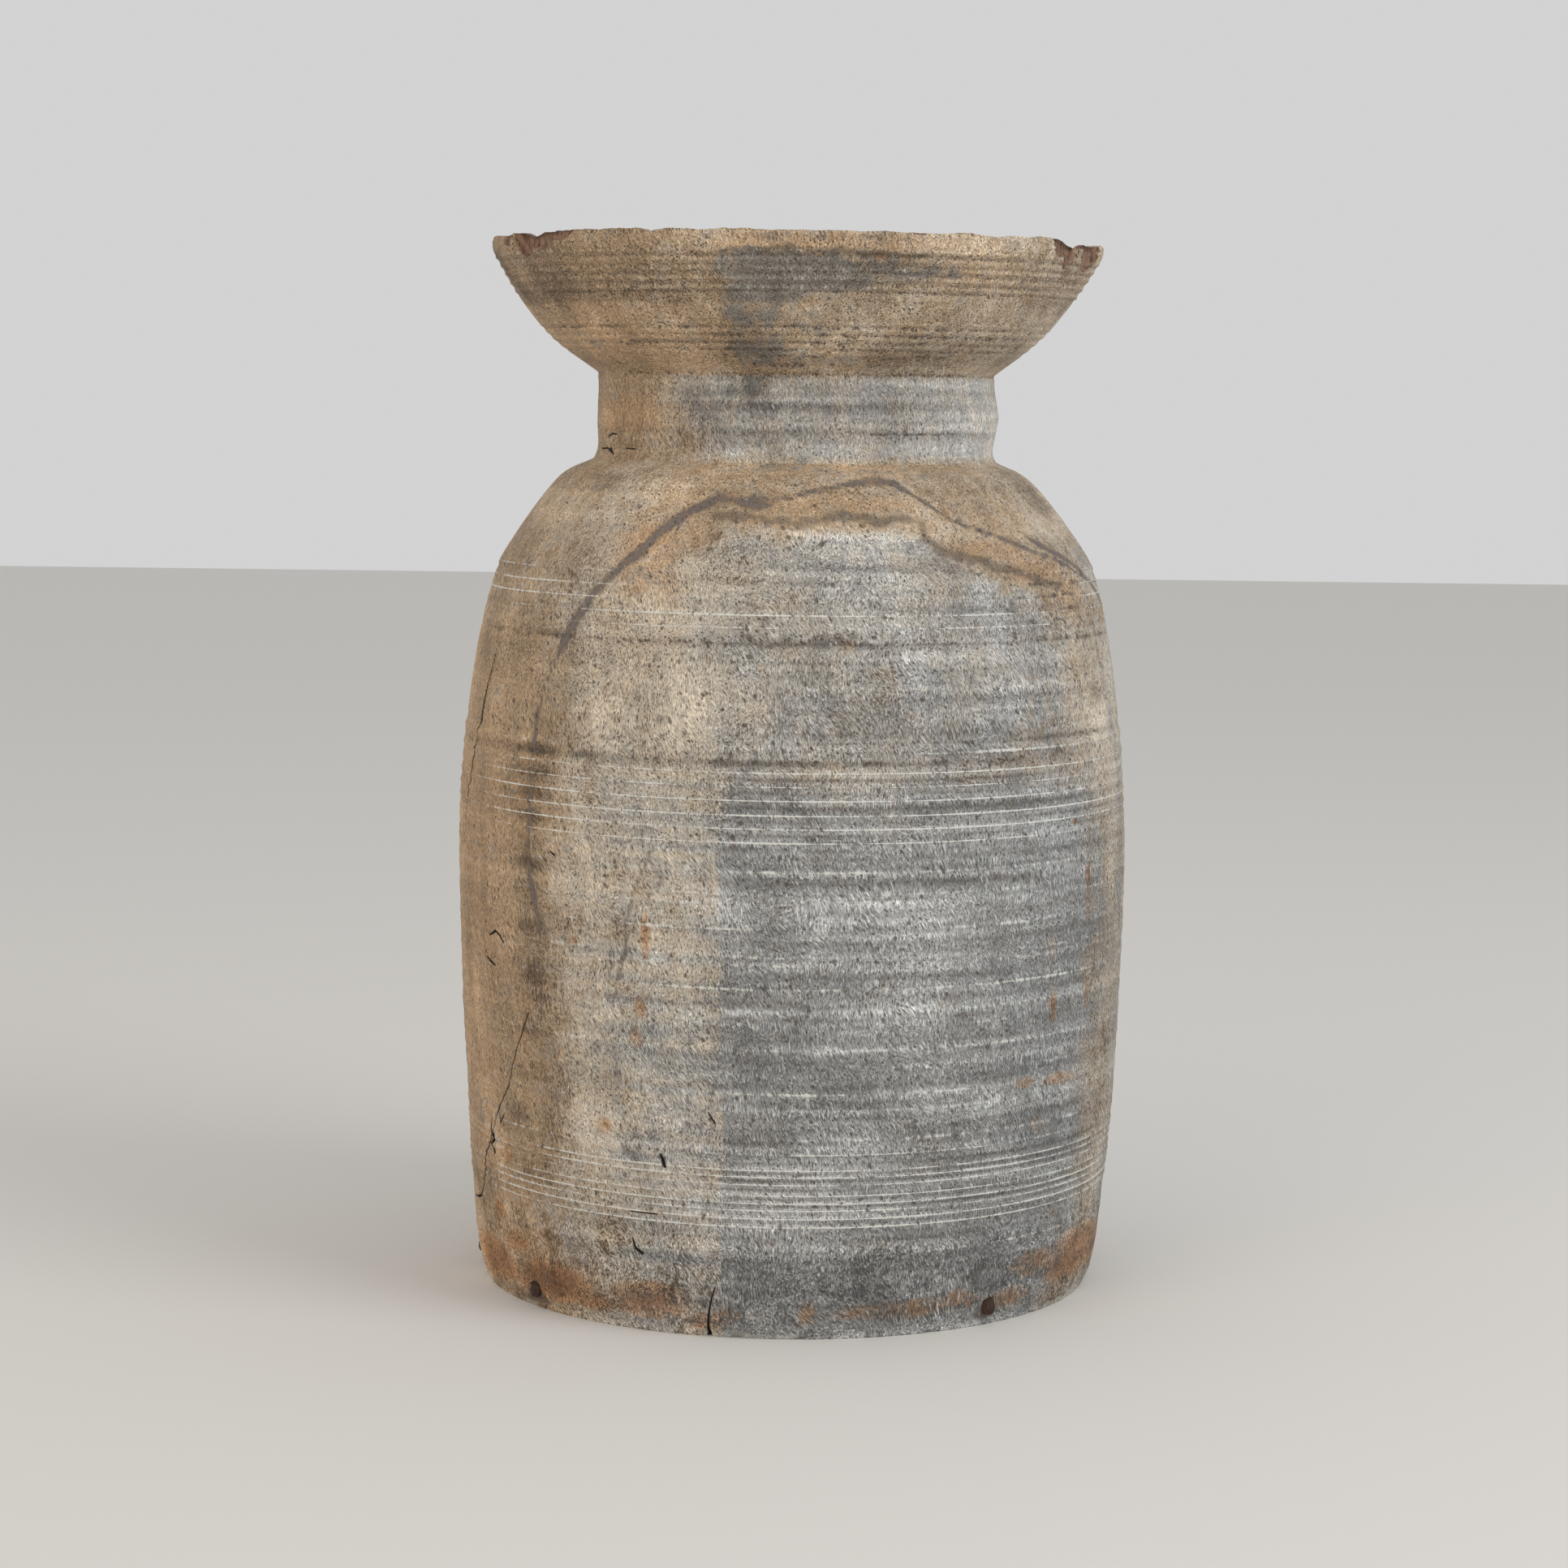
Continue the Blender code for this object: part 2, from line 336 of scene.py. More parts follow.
def unevenness(angle, height):
    """Long waves and small dents left by drying and use."""
    return MM * (
        0.28 * ring_noise(angle, height, 9, 0.060, 21)
        + 0.14 * ring_noise(angle, height, 34, 0.018, 22)
        + 0.07 * ring_noise(angle, height, 120, 0.005, 23)
    )


def outside_rows():
    """Heights of the mesh rows on the outside, closer together over the lathe marks."""
    count = int(ARC[-1] / ROW_STEP)
    heights = [np.interp(np.linspace(0.0, ARC[-1], count), ARC, OUTLINE[:, 1])]
    for place, _, width in RIDGES + HOLLOWS:
        heights.append(place * MM + width * MM * np.array([-1.6, -0.8, 0.0, 0.8, 1.6]))
    heights.append(POT_HEIGHT - MM * np.linspace(0.0, *LIP_ROWS))
    heights.append(MM * np.linspace(0.0, *FOOT_ROWS))
    rows = np.sort(np.clip(np.concatenate(heights), 0.0, POT_HEIGHT))
    kept = [rows[0]]
    for height in rows[1:]:
        if outer_arc(height) - outer_arc(kept[-1]) > CLOSEST_ROWS:
            kept.append(height)
    kept[-1] = POT_HEIGHT
    return np.array(kept)[::-1]


def inside_points():
    """(radius, height) of the mesh rows from the foot's outer edge round to the lip's inner edge."""
    inside = smooth_stretch(INSIDE, CURVE_POINTS)
    arc = np.concatenate([[0.0], np.cumsum(np.hypot(*np.diff(inside, axis=0).T))])
    steps = np.linspace(0.0, arc[-1], int(arc[-1] / INSIDE_ROW_STEP))
    inside = np.column_stack([np.interp(steps, arc, inside[:, 0]), np.interp(steps, arc, inside[:, 1])])
    return np.vstack([FOOT_RING, REBATE_WALL, REBATE_LEDGE, inside, LIP_TOP])


def lip_drop(angle):
    """How far the lip's edge lies below its highest point, in mm."""
    wear, change = LIP_WEAR
    drop = wear + change * ring_noise(angle, np.zeros_like(angle), 26, 1.0, 35)
    for place, depth, half_width in LIP_NICKS:
        drop = np.maximum(drop, depth * np.exp(-(((np.degrees(angle) - place) / half_width) ** 2)))
    return drop


def follow_lip(angle, height):
    """Lowers what is near the lip to follow the worn edge."""
    reach = LIP_DROP_REACH * MM
    near = ease(height, POT_HEIGHT - reach, POT_HEIGHT)
    ragged = 0.25 * ring_noise(angle, height, 160, 0.02, 31) + 0.2 * ring_noise(angle, height, 420, 0.02, 32)
    return height - near * MM * np.maximum(lip_drop(angle) + ragged + 0.25, 0.0)


def scar_depth(angle, height, radius):
    """How far the split skin of the lip lies below the smooth wall."""
    depth = np.zeros_like(height)
    for place, level, length, inward, down in LIP_SCARS:
        along = (angle - math.radians(place)) * radius / (length * MM)
        drop = (height - level * MM) / (down * MM)
        rough = (
            0.10 * ring_noise(angle, height, 300, 0.004, 33)
            + 0.10 * ring_noise(angle, height, 110, 0.003, 34)
        )
        bowl = np.sqrt(np.clip(1.0 - along**2 - drop**2 + rough, 0.0, 1.0))
        depth = np.maximum(depth, inward * MM * np.minimum(1.0, 1.6 * bowl))
    return np.minimum(depth, np.maximum(0.9 * (radius - LIP_INNER_RADIUS), 0.0))


def inner_rows_outside(inner):
    """1 for the rows of the foot's edge and fading to 0 over the lip's flat top, 0 inside."""
    outside = np.zeros(len(inner))
    outside[:len(FOOT_RING) - 1] = 1.0
    outside[-len(LIP_TOP):] = (0.25, 0.5, 0.75, 1.0)
    return outside


def warp_at(height):
    """How far the pot leans towards +X at each height."""
    return read_table(height, np.array(WARP) * MM)


def wall_grid():
    """Points of the wall, rows round the section and columns round the pot, and which are outside."""
    rows = outside_rows()
    angles, heights, _ = turned(np.column_stack([outer_radius(rows), rows]), COLUMNS)
    heights = follow_lip(angles, heights)
    radial, upward = outer_slope(heights)
    edge = ease(POT_HEIGHT - heights, 0.0, 2.0 * MM) * ease(heights, 0.0, 3.0 * MM)
    relief = (lathe_marks(angles, heights) + unevenness(angles, heights)) * edge
    radius = outer_radius(heights) + radial * relief
    heights = heights + upward * relief
    radius = radius - scar_depth(angles, heights, radius)
    inner = inside_points()
    inner_angles, inner_heights, inner_radius = turned(inner, COLUMNS)
    body = (inner_heights > 0.02) & (inner_heights < 0.415)
    tool = 0.5 * ring_noise(inner_angles, inner_heights, 7, 0.011, 41)
    inner_radius = inner_radius + body * MM * (tool + 0.4 * unevenness(inner_angles, inner_heights) / MM)
    inner_heights = follow_lip(inner_angles, inner_heights)
    angles, heights = np.vstack([angles, inner_angles]), np.vstack([heights, inner_heights])
    grid = round_axis(angles, heights, np.vstack([radius, inner_radius]))
    grid[..., 0] += warp_at(heights)
    outside = np.concatenate([np.ones(len(rows)), inner_rows_outside(inner)])
    return grid, np.repeat(outside, COLUMNS)


# --------------------------------------------------------------------------- places on the wall
def cylinder_places(points):
    """Angle in radians, height and radius of points on the pot."""
    x = points[:, 0] - warp_at(points[:, 2])
    return np.arctan2(x, -points[:, 1]), points[:, 2], np.hypot(x, points[:, 1])


def near_path(angle, height, path):
    """1 on a path of (degrees, mm, half width in mm) places, 0 at its edge, -1 well outside."""
    places = np.array(path, float)
    reach = 2.0 * places[:, 2].max() * MM
    turn, level, width = np.radians(places[:, 0]), places[:, 1] * MM, places[:, 2] * MM
    slack = reach / outer_radius(level).min()
    close = np.flatnonzero(
        (height > level.min() - reach) & (height < level.max() + reach)
        & (angle > turn.min() - slack) & (angle < turn.max() + slack)
    )
    local_turn, local_arc = angle[close], outer_arc(height[close])
    arc = outer_arc(level)
    found = np.full(len(close), -1.0)
    for k in range(len(places) - 1):
        radius = outer_radius((level[k] + level[k + 1]) / 2.0)
        run = np.array([(turn[k + 1] - turn[k]) * radius, arc[k + 1] - arc[k]])
        along, up = (local_turn - turn[k]) * radius, local_arc - arc[k]
        share = np.clip((along * run[0] + up * run[1]) / max(run @ run, 1e-12), 0.0, 1.0)
        distance = np.hypot(along - share * run[0], up - share * run[1])
        found = np.maximum(found, 1.0 - distance / (width[k] + share * (width[k + 1] - width[k])))
    best = np.full(len(angle), -1.0)
    best[close] = found
    return best


def widened(path, factor):
    """The same path, with each half width times the factor."""
    return [(place, level, factor * width) for place, level, width in path]


def patches(angle, height, table):
    """The strongest of the soft patches at each point: 1 in a patch's middle, 0 from its edge out."""
    field = np.zeros_like(height)
    smooth = outer_radius(height)
    for place, level, half_length, half_height, strength in table:
        reach = np.flatnonzero(np.abs(height - level * MM) < half_height * MM)
        across = (np.degrees(angle[reach]) - place + 180.0) % 360.0 - 180.0
        along = np.radians(across) * smooth[reach] / (half_length * MM)
        up = (height[reach] - level * MM) / (half_height * MM)
        field[reach] = np.maximum(field[reach], strength * np.clip(1.0 - along**2 - up**2, 0.0, 1.0))
    return field


# ------------------------------------------------------------------------------ splits and chips
# Paths of (degrees, mm, half width in mm)
SPLITS = [
    [(-49.3, 119, 0.35), (-50.8, 112, 0.4), (-52.4, 106, 0.35), (-54.5, 97, 0.35), (-56.2, 88, 0.4),
     (-59.6, 79, 0.4), (-60.4, 77, 0.6), (-62.3, 71, 0.3), (-65.2, 61, 0.5), (-67.8, 55, 0.6),
     (-68.2, 49, 0.9), (-69.6, 43, 0.6), (-71.5, 38.5, 0.6), (-73.5, 35.5, 0.6), (-78, 33.5, 0.4),
     (-86, 31.5, 0.3)],
    [(-64.5, 70, 0.5), (-64.2, 66, 1.1), (-63.0, 64, 1.2), (-64.5, 61, 0.9), (-63, 58, 0.8)],
    [(-66.0, 258, 0.5), (-66.6, 250, 0.7), (-67.8, 243, 0.8), (-68.6, 236, 1.2), (-69.0, 230, 1.2),
     (-70.2, 224, 0.6), (-71.0, 214, 1.0), (-72.2, 205, 1.0), (-73.4, 197, 0.8), (-74.6, 189, 0.6),
     (-75.2, 178, 0.3)],
    [(-90, 184, 0.3), (-84, 185, 0.6), (-79.5, 184, 0.3)],
    [(-60.2, 75.5, 0.3), (-60.0, 71, 0.5), (-58.6, 75, 0.4)],
    [(-61.2, 146, 0.4), (-59, 148.3, 0.6), (-57.6, 147, 0.5), (-56.2, 144.5, 0.5)],
    [(-62.4, 137, 0.4), (-61.4, 136, 0.7), (-59.4, 134.5, 0.5)],
    [(-43.4, 183.5, 0.3), (-42.2, 182.2, 0.5)],
    [(-13.4, 88.5, 0.3), (-12.4, 84.5, 0.4)],
    [(-12.2, 20, 0.2), (-12.9, 15, 0.3), (-13.4, 9, 0.4), (-13.5, 4, 0.6), (-13.6, 0, 1.1)],
    [(-26.6, 33, 0.6), (-25.4, 31.2, 0.7)],
    [(-27.2, 37, 0.3), (-26.6, 33, 0.6)],
    [(-21.8, 71, 0.5), (-21.3, 68, 0.9), (-21.0, 66.4, 0.7)],
    [(-75, 336.2, 0.3), (-69, 336.4, 0.4), (-65.5, 335.2, 0.7), (-63, 334, 0.4)],
    [(-68.5, 341, 0.3), (-65, 342.2, 0.4), (-62, 342, 0.3)],
    [(-56.5, 336.6, 0.3), (-51.5, 336.4, 0.3)],
    [(-27.5, 47.4, 0.25), (-22.5, 47.4, 0.3)],
    [(163, 196, 0.3), (162, 170, 0.5), (163.5, 141, 0.6), (162.6, 112, 0.5), (163.4, 84, 0.3)],
    [(-128, 0, 0.9), (-127, 16, 0.5), (-128.4, 38, 0.3)],
]
SPLIT_DEPTH = 1.6              # depth of a split in half widths
# Chips off the foot's edge: (degrees, half length in mm, height in mm)
FOOT_CHIPS = [
    (-13.6, 3.4, 2.8), (-8.5, 2.2, 1.6), (-19.0, 1.6, 1.0), (3.0, 1.8, 0.9), (27.0, 2.4, 1.0),
    (52.0, 2.0, 0.9), (112.0, 3.0, 1.8), (171.0, 2.4, 1.2), (-128.0, 3.6, 1.6),
]
CHIP_DEPTH = 1.8 * MM
REFINE_REACH = 1.3             # mm of finer mesh each side of a split


def refine_along_splits(mesh):
    """Cuts the faces beside every split into smaller ones."""
    angle, height, _ = cylinder_places(vertex_points(mesh))
    near = np.zeros(len(mesh.vertices), bool)
    for path in SPLITS:
        wide = [(place, level, width + REFINE_REACH) for place, level, width in path]
        near |= near_path(angle, height, wide) > 0.0
    work = bmesh.new()
    work.from_mesh(mesh)
    work.verts.ensure_lookup_table()
    chosen = [edge for edge in work.edges if near[edge.verts[0].index] and near[edge.verts[1].index]]
    bmesh.ops.subdivide_edges(work, edges=chosen, cuts=3, use_grid_fill=True)
    work.to_mesh(mesh)
    work.free()


def press_in(mesh):
    """Sinks the splits into the wall and takes the chips off the foot's edge."""
    points = vertex_points(mesh)
    angle, height, radius = cylinder_places(points)
    outside = radius > outer_radius(height) - 2.5 * MM
    for path in SPLITS:
        nearness = np.clip(near_path(angle, height, path), 0.0, 1.0) * outside
        widest = max(width for _, _, width in path)
        depth = SPLIT_DEPTH * widest * MM * nearness
        radial, upward = outer_slope(height)
        points[:, 0] -= depth * radial * np.sin(angle)
        points[:, 1] += depth * radial * np.cos(angle)
        points[:, 2] -= depth * upward
    for place, length, rise in FOOT_CHIPS:
        across = np.radians(np.degrees(angle) - place) * radius / (length * MM)
        reach = 1.0 - across**2 - (height / (rise * MM)) ** 2
        chip = np.sqrt(np.clip(reach, 0.0, 1.0)) * (radius > REBATE_RADIUS + 2.5 * MM) * outside
        points[:, 0] -= chip * CHIP_DEPTH * np.sin(angle)
        points[:, 1] += chip * CHIP_DEPTH * np.cos(angle)
    mesh.vertices.foreach_set("co", points.astype(np.float32).ravel())
    mesh.update()


# --------------------------------------------------------------------- colour fields on the wall
# Paths of (degrees, mm, half width in mm): the dark vein, and soft dark lines
VEIN = [
    [(-46.6, 133, 0.5), (-46.6, 137, 1.1), (-46.0, 142, 0.3), (-45.7, 150, 0.3), (-45.8, 156, 0.6),
     (-47.0, 164, 1.6), (-48.0, 172, 0.9), (-48.8, 180, 0.3), (-48.6, 192, 0.4), (-48.6, 203, 0.6),
     (-48.5, 213, 0.4), (-48.6, 222, 1.1), (-48.6, 235, 1.2), (-48.0, 241, 0.3), (-46.6, 250, 0.3),
     (-45.2, 257, 0.5), (-43.6, 265, 1.8), (-41.6, 273, 2.0), (-39.4, 281, 1.7), (-36.6, 287, 1.5),
     (-33.2, 294, 1.6), (-30.8, 299, 2.3), (-28.6, 304, 2.4), (-25.6, 310, 2.0), (-21.5, 315, 1.9),
     (-16.5, 319, 1.9), (-12.5, 318.3, 1.5), (-8, 318.4, 1.4), (-3.5, 318.6, 0.8), (-0.5, 319.8, 0.6),
     (3, 321.6, 0.7)],
    [(-11.5, 316.6, 0.8), (-8, 315.8, 1.7), (-4.6, 317.0, 0.7)],
    [(1.5, 321.3, 0.5), (6, 322.6, 0.9), (11, 324.0, 0.8), (15, 325.4, 1.7), (20, 326.0, 2.2),
     (23.4, 325.0, 1.2), (26.5, 321.5, 0.7), (30, 317, 0.6), (33, 312.6, 0.55), (37, 309.0, 0.6),
     (41, 307.2, 0.5), (44.5, 305.0, 0.8), (48.5, 302.2, 1.1), (52.5, 299.2, 0.9), (57, 297.0, 0.6),
     (62, 294.0, 0.7), (67, 290.0, 0.6), (74, 286.5, 0.4), (82, 285.0, 0.2)],
    [(53.5, 304.4, 0.7), (57.5, 300.4, 1.3), (62, 297.4, 1.2), (66.6, 293.4, 1.1), (72, 288.0, 1.0),
     (79, 280.5, 1.3), (86, 271.0, 1.0), (91, 258.0, 1.3), (94, 241.0, 0.9), (95, 222.0, 0.6),
     (97, 204.0, 0.3)],
    [(-176, 170, 0.3), (-172, 196, 0.9), (-170, 224, 1.3), (-166, 250, 1.1), (-159, 272, 1.6),
     (-150, 288, 1.4), (-139, 299, 0.9), (-128, 305, 0.5)],
]
INNER_EDGE = [
    (-17, 312.4, 1.0), (-10, 312.4, 1.3), (-5, 311.2, 1.3), (0.5, 309.8, 1.8), (5, 311.2, 1.8),
    (9, 313.0, 1.5), (13.5, 312.6, 1.5), (17.5, 309.8, 1.8), (20, 312.2, 1.2), (24.5, 311.8, 1.5),
    (27, 310.0, 1.5), (26.2, 305.6, 1.2), (28.8, 300.2, 1.3), (33, 297.4, 1.3), (37, 296.6, 1.6),
    (41, 293.0, 1.6), (45.5, 291.8, 1.3), (52, 287.6, 1.2), (59, 286.0, 1.0),
]
UNDER_LIP = [
    (-14, 411.0, 0.6), (-10, 412.4, 1.0), (-6, 411.6, 0.8), (-1, 412.6, 1.2), (4, 411.2, 0.9),
    (8, 412.0, 1.2), (12, 410.6, 1.3), (16, 411.4, 1.0), (20, 410.0, 0.8), (24, 410.4, 0.4),
]
CREASE = [
    (-22.0, 193, 0.4), (-23.6, 184, 0.7), (-25.7, 173, 0.8), (-27.6, 158, 0.8), (-27.4, 149, 0.8),
    (-28.8, 139, 0.8), (-30.2, 125, 0.4),
]
NAIL_STAINS = [
    [(-54.5, 3.0, 1.4), (-51.5, 4.2, 3.4), (-48.0, 3.4, 1.2)],
    [(36.4, 5.2, 1.2), (38.5, 6.4, 3.6), (40.8, 4.6, 1.6)],
    [(96.0, 4.0, 1.4), (98.0, 6.0, 3.2)],
    [(-92.0, 4.4, 1.4), (-90.0, 6.0, 3.2)],
]
# Torn lines: (height in mm, from and to in degrees, half width in mm, strength)
PITTED_LINES = [
    (265.5, -75, 82, 1.0, 0.95), (267.4, -14, 16, 1.6, 0.9), (264.2, -40, 60, 1.2, 0.5),
    (228.6, -58, 70, 0.7, 0.7), (221.2, -60, 64, 1.5, 0.8), (369.6, -18, 30, 0.8, 0.8),
    (372.6, -20, 48, 0.7, 1.0), (375.2, -26, 60, 0.7, 0.9), (377.8, -60, 60, 0.8, 0.9),
    (380.7, -20, 64, 0.9, 1.1), (383.6, -70, 70, 0.8, 0.8), (366.4, -60, 60, 0.5, 0.8),
    (343.6, 18, 50, 0.5, 1.1), (286.5, 44, 70, 0.9, 1.1), (282.0, 36, 72, 0.8, 1.0),
    (277.0, 40, 72, 0.9, 1.1), (273.0, 40, 74, 0.8, 1.0), (270.0, 50, 72, 0.7, 0.8),
    (290.5, 50, 70, 0.7, 0.8), (256.0, -50, 40, 0.5, 0.6), (193.5, -12, 60, 0.8, 0.5),
    (213.8, -56, -40, 1.2, 0.7), (53.4, -12, 62, 0.7, 0.6), (410.4, -40, 64, 0.5, 0.6),
    (403.9, -64, 66, 0.5, 0.5), (396.8, -64, 66, 0.5, 0.6),
]
# Soft patches: (degrees, mm, half length in mm, half height in mm, strength)
# Darker patches of the wood. The one at -64 degrees 388 mm is painted shade on the flare's left side.
DARK_AND_SHADED_PATCHES = [
    (-34, 10, 18, 8, 0.8), (26, 31, 24, 9, 0.6), (-58, 3, 16, 4, 0.6), (-38, 3, 18, 3, 0.6),
    (-51.5, 7, 7, 5, 0.5), (38.5, 7, 5.5, 5, 0.9), (-44, 11, 10, 4, 0.7), (-32, 7, 12, 4, 0.4),
    (-25, 12, 7, 5, 0.7), (-16, 8, 5, 5, 0.4), (-38, 22, 18, 5, 0.35), (-30, 40, 30, 7, 0.3),
    (-45, 46, 12, 8, 0.3), (-48, 213, 17, 5, 0.95), (-48, 222, 14, 3.5, 1.2), (-48, 205, 13, 3.5, 1.1),
    (-48, 196, 12, 3.5, 1.0), (-48, 178, 13, 4, 1.1), (-48, 186, 11, 3.5, 0.7), (-48, 168, 12, 4, 0.65),
    (-48, 153, 12, 4, 0.85), (-47, 135, 12, 5, 0.9), (-46, 126, 10, 3, 0.8), (-49, 112, 14, 3, 0.9),
    (-49, 95, 14, 5, 0.7), (-3, 168, 20, 24, 0.7), (46, 238, 26, 12, 0.45), (70, 320, 16, 11, 0.7),
    (-52, 78, 13, 5, 0.5), (-48, 57, 16, 9, 0.45), (-41, 34, 22, 12, 0.35), (-22, 17, 26, 9, 0.6),
    (-45, 15, 20, 8, 0.35), (-62, 16, 8, 6, 0.6), (-62, 33, 8, 4, 0.4), (-64, 120, 9, 28, 0.15),
    (-8, 160, 10, 60, 0.40), (-6, 120, 12, 30, 0.50), (2, 124, 18, 10, 0.65), (0, 79, 30, 7, 0.50),
    (8, 80, 12, 9, 0.15), (4, 94, 34, 5, 0.50), (36, 94, 30, 4, 0.35), (12, 22, 14, 12, 0.95),
    (0, 22, 30, 12, 0.5), (38, 25, 16, 14, 0.7), (28, 40, 28, 5, 0.55), (30, 32, 26, 4, 0.5),
    (54, 120, 30, 50, 0.30), (46, 75, 24, 30, 0.40), (60, 95, 14, 30, 0.35), (70, 100, 9, 50, 0.30),
    (60, 185, 5, 40, 0.4), (42, 35, 20, 20, 0.35), (6, 250, 34, 9, 0.15), (12, 243, 22, 8, 0.25),
    (46, 262, 22, 14, 0.30), (-4, 266, 13, 2.5, 0.7), (9, 268, 5, 3.5, 0.7), (-2, 212, 9, 5, 0.5),
    (37, 212, 12, 6, 0.45), (38, 224, 5, 3, 0.5), (50, 224, 4, 3, 0.7), (66, 243, 6, 3, 0.6),
    (-150, 190, 40, 30, 0.4), (110, 60, 40, 24, 0.4), (128, 240, 36, 18, 0.35), (20, 193, 60, 4, 0.25),
    (16, 183, 60, 6, 0.2), (55, 250, 24, 10, 0.2), (-75, 300, 26, 16, 0.15), (31, 346, 2.5, 2.5, 0.8),
    (24, 371, 50, 4, 0.45), (-62, 371, 30, 3, 0.35), (-64, 388, 30, 9, 0.30), (-55, 405, 24, 12, 0.30),
    (-78, 407, 8, 7, 0.7), (-74, 398, 3, 8, 0.4), (42, 415, 5, 3, 0.6), (140, 120, 60, 50, 0.35),
    (-140, 60, 60, 30, 0.3), (170, 250, 60, 40, 0.2),
]
# Paler patches of the wood. Those from -84 to -78 degrees, and the one at -66 degrees 318 mm, are painted
# light: the far left side lit by warm bounce light.
PALE_AND_LIT_PATCHES = [
    (-20, 238, 24, 16, 0.7), (-34, 238, 16, 15, 0.6), (-80, 230, 18, 60, 0.4), (-66, 318, 40, 14, 0.4),
    (-34, 320, 26, 10, 0.5), (70, 34, 18, 9, 0.6), (10, 76, 26, 18, 0.9), (-34, 78, 20, 22, 0.8),
    (-34, 124, 16, 30, 0.5), (-20, 122, 18, 30, 0.5), (-3, 11, 14, 9, 0.7), (-66, 124, 14, 30, 0.5),
    (10, 208, 24, 14, 0.45), (69, 168, 10, 24, 0.6), (69, 122, 10, 24, 0.4), (-66, 266, 18, 14, 0.5),
    (-80, 262, 14, 30, 0.4), (-84, 230, 20, 100, 0.5), (-80, 20, 24, 30, 0.4), (70, 14, 24, 16, 0.7),
    (10, 118, 30, 12, 0.4), (2, 10, 30, 8, 0.5), (-22, 140, 20, 26, 0.65), (-20, 205, 28, 30, 0.45),
    (-22, 90, 24, 40, 0.45), (-13, 215, 14, 20, 0.4), (-24, 262, 34, 24, 0.40), (14, 300, 26, 9, 0.55),
    (22, 286, 22, 10, 0.5), (10, 275, 40, 8, 0.3), (30, 262, 30, 10, 0.25), (20, 101, 22, 7, 0.55),
    (20, 90, 12, 8, 0.4), (35, 92, 8, 3, 1.0), (22, 140, 26, 9, 0.5), (18, 163, 34, 3, 0.4),
    (24, 128, 14, 9, 0.35), (5, 65, 30, 8, 0.30), (-2, 45, 24, 3, 0.5), (30, 46, 40, 3, 0.4),
    (-34, 36, 7, 2.5, 0.6), (72, 60, 14, 30, 0.4), (72, 160, 12, 80, 0.35), (66, 232, 16, 12, 0.45),
    (78, 260, 14, 40, 0.3), (-26, 300, 10, 9, 0.2), (60, 352, 50, 12, 0.35), (20, 360, 50, 5, 0.35),
    (0, 345, 40, 12, 0.15), (75, 340, 14, 9, 0.5), (35, 416, 40, 4, 0.3), (-78, 150, 12, 120, 0.35),
    (44, 30, 18, 6, 0.45), (51, 57, 14, 3, 0.45), (-72, 52, 16, 8, 0.2),
]
# Warmer patches of the wood. The one at -80 degrees 250 mm is painted warm light on the far left side.
WARM_AND_LIT_PATCHES = [
    (-80, 250, 20, 70, 0.5), (-70, 150, 60, 200, 0.55), (-50, 205, 24, 40, 0.45),
    (-48, 100, 26, 60, 0.35), (-30, 300, 18, 14, 0.75), (-26, 285, 20, 12, 0.45), (-14, 317, 40, 8, 0.20),
    (-27, 262, 18, 20, 0.30), (10, 317, 40, 4, 0.50), (40, 300, 26, 5, 0.85), (52, 292, 26, 7, 0.9),
    (60, 283, 22, 9, 0.7), (46, 312, 30, 9, 0.35), (62, 275, 18, 8, 0.45), (60, 160, 6, 60, 0.55),
    (68, 120, 20, 120, 0.30), (10, 415, 60, 5, 0.55), (40, 405, 50, 12, 0.50), (-50, 380, 70, 24, 0.30),
    (-20, 378, 30, 8, 0.35), (-60, 350, 50, 10, 0.65), (60, 350, 40, 12, 0.25), (-52, 20, 60, 22, 0.55),
    (-30, 10, 50, 8, 0.5), (6, 233, 20, 3, 0.55), (-4, 240, 10, 8, 0.35), (62, 20, 40, 14, 0.6),
    (20, 8, 60, 7, 0.45), (-33, 80, 5, 8, 0.5), (-40, 155, 8, 8, 0.4), (30, 330, 70, 4, 0.45),
    (-40, 330, 60, 5, 0.2), (150, 200, 120, 200, 0.35), (-140, 250, 120, 160, 0.4),
]
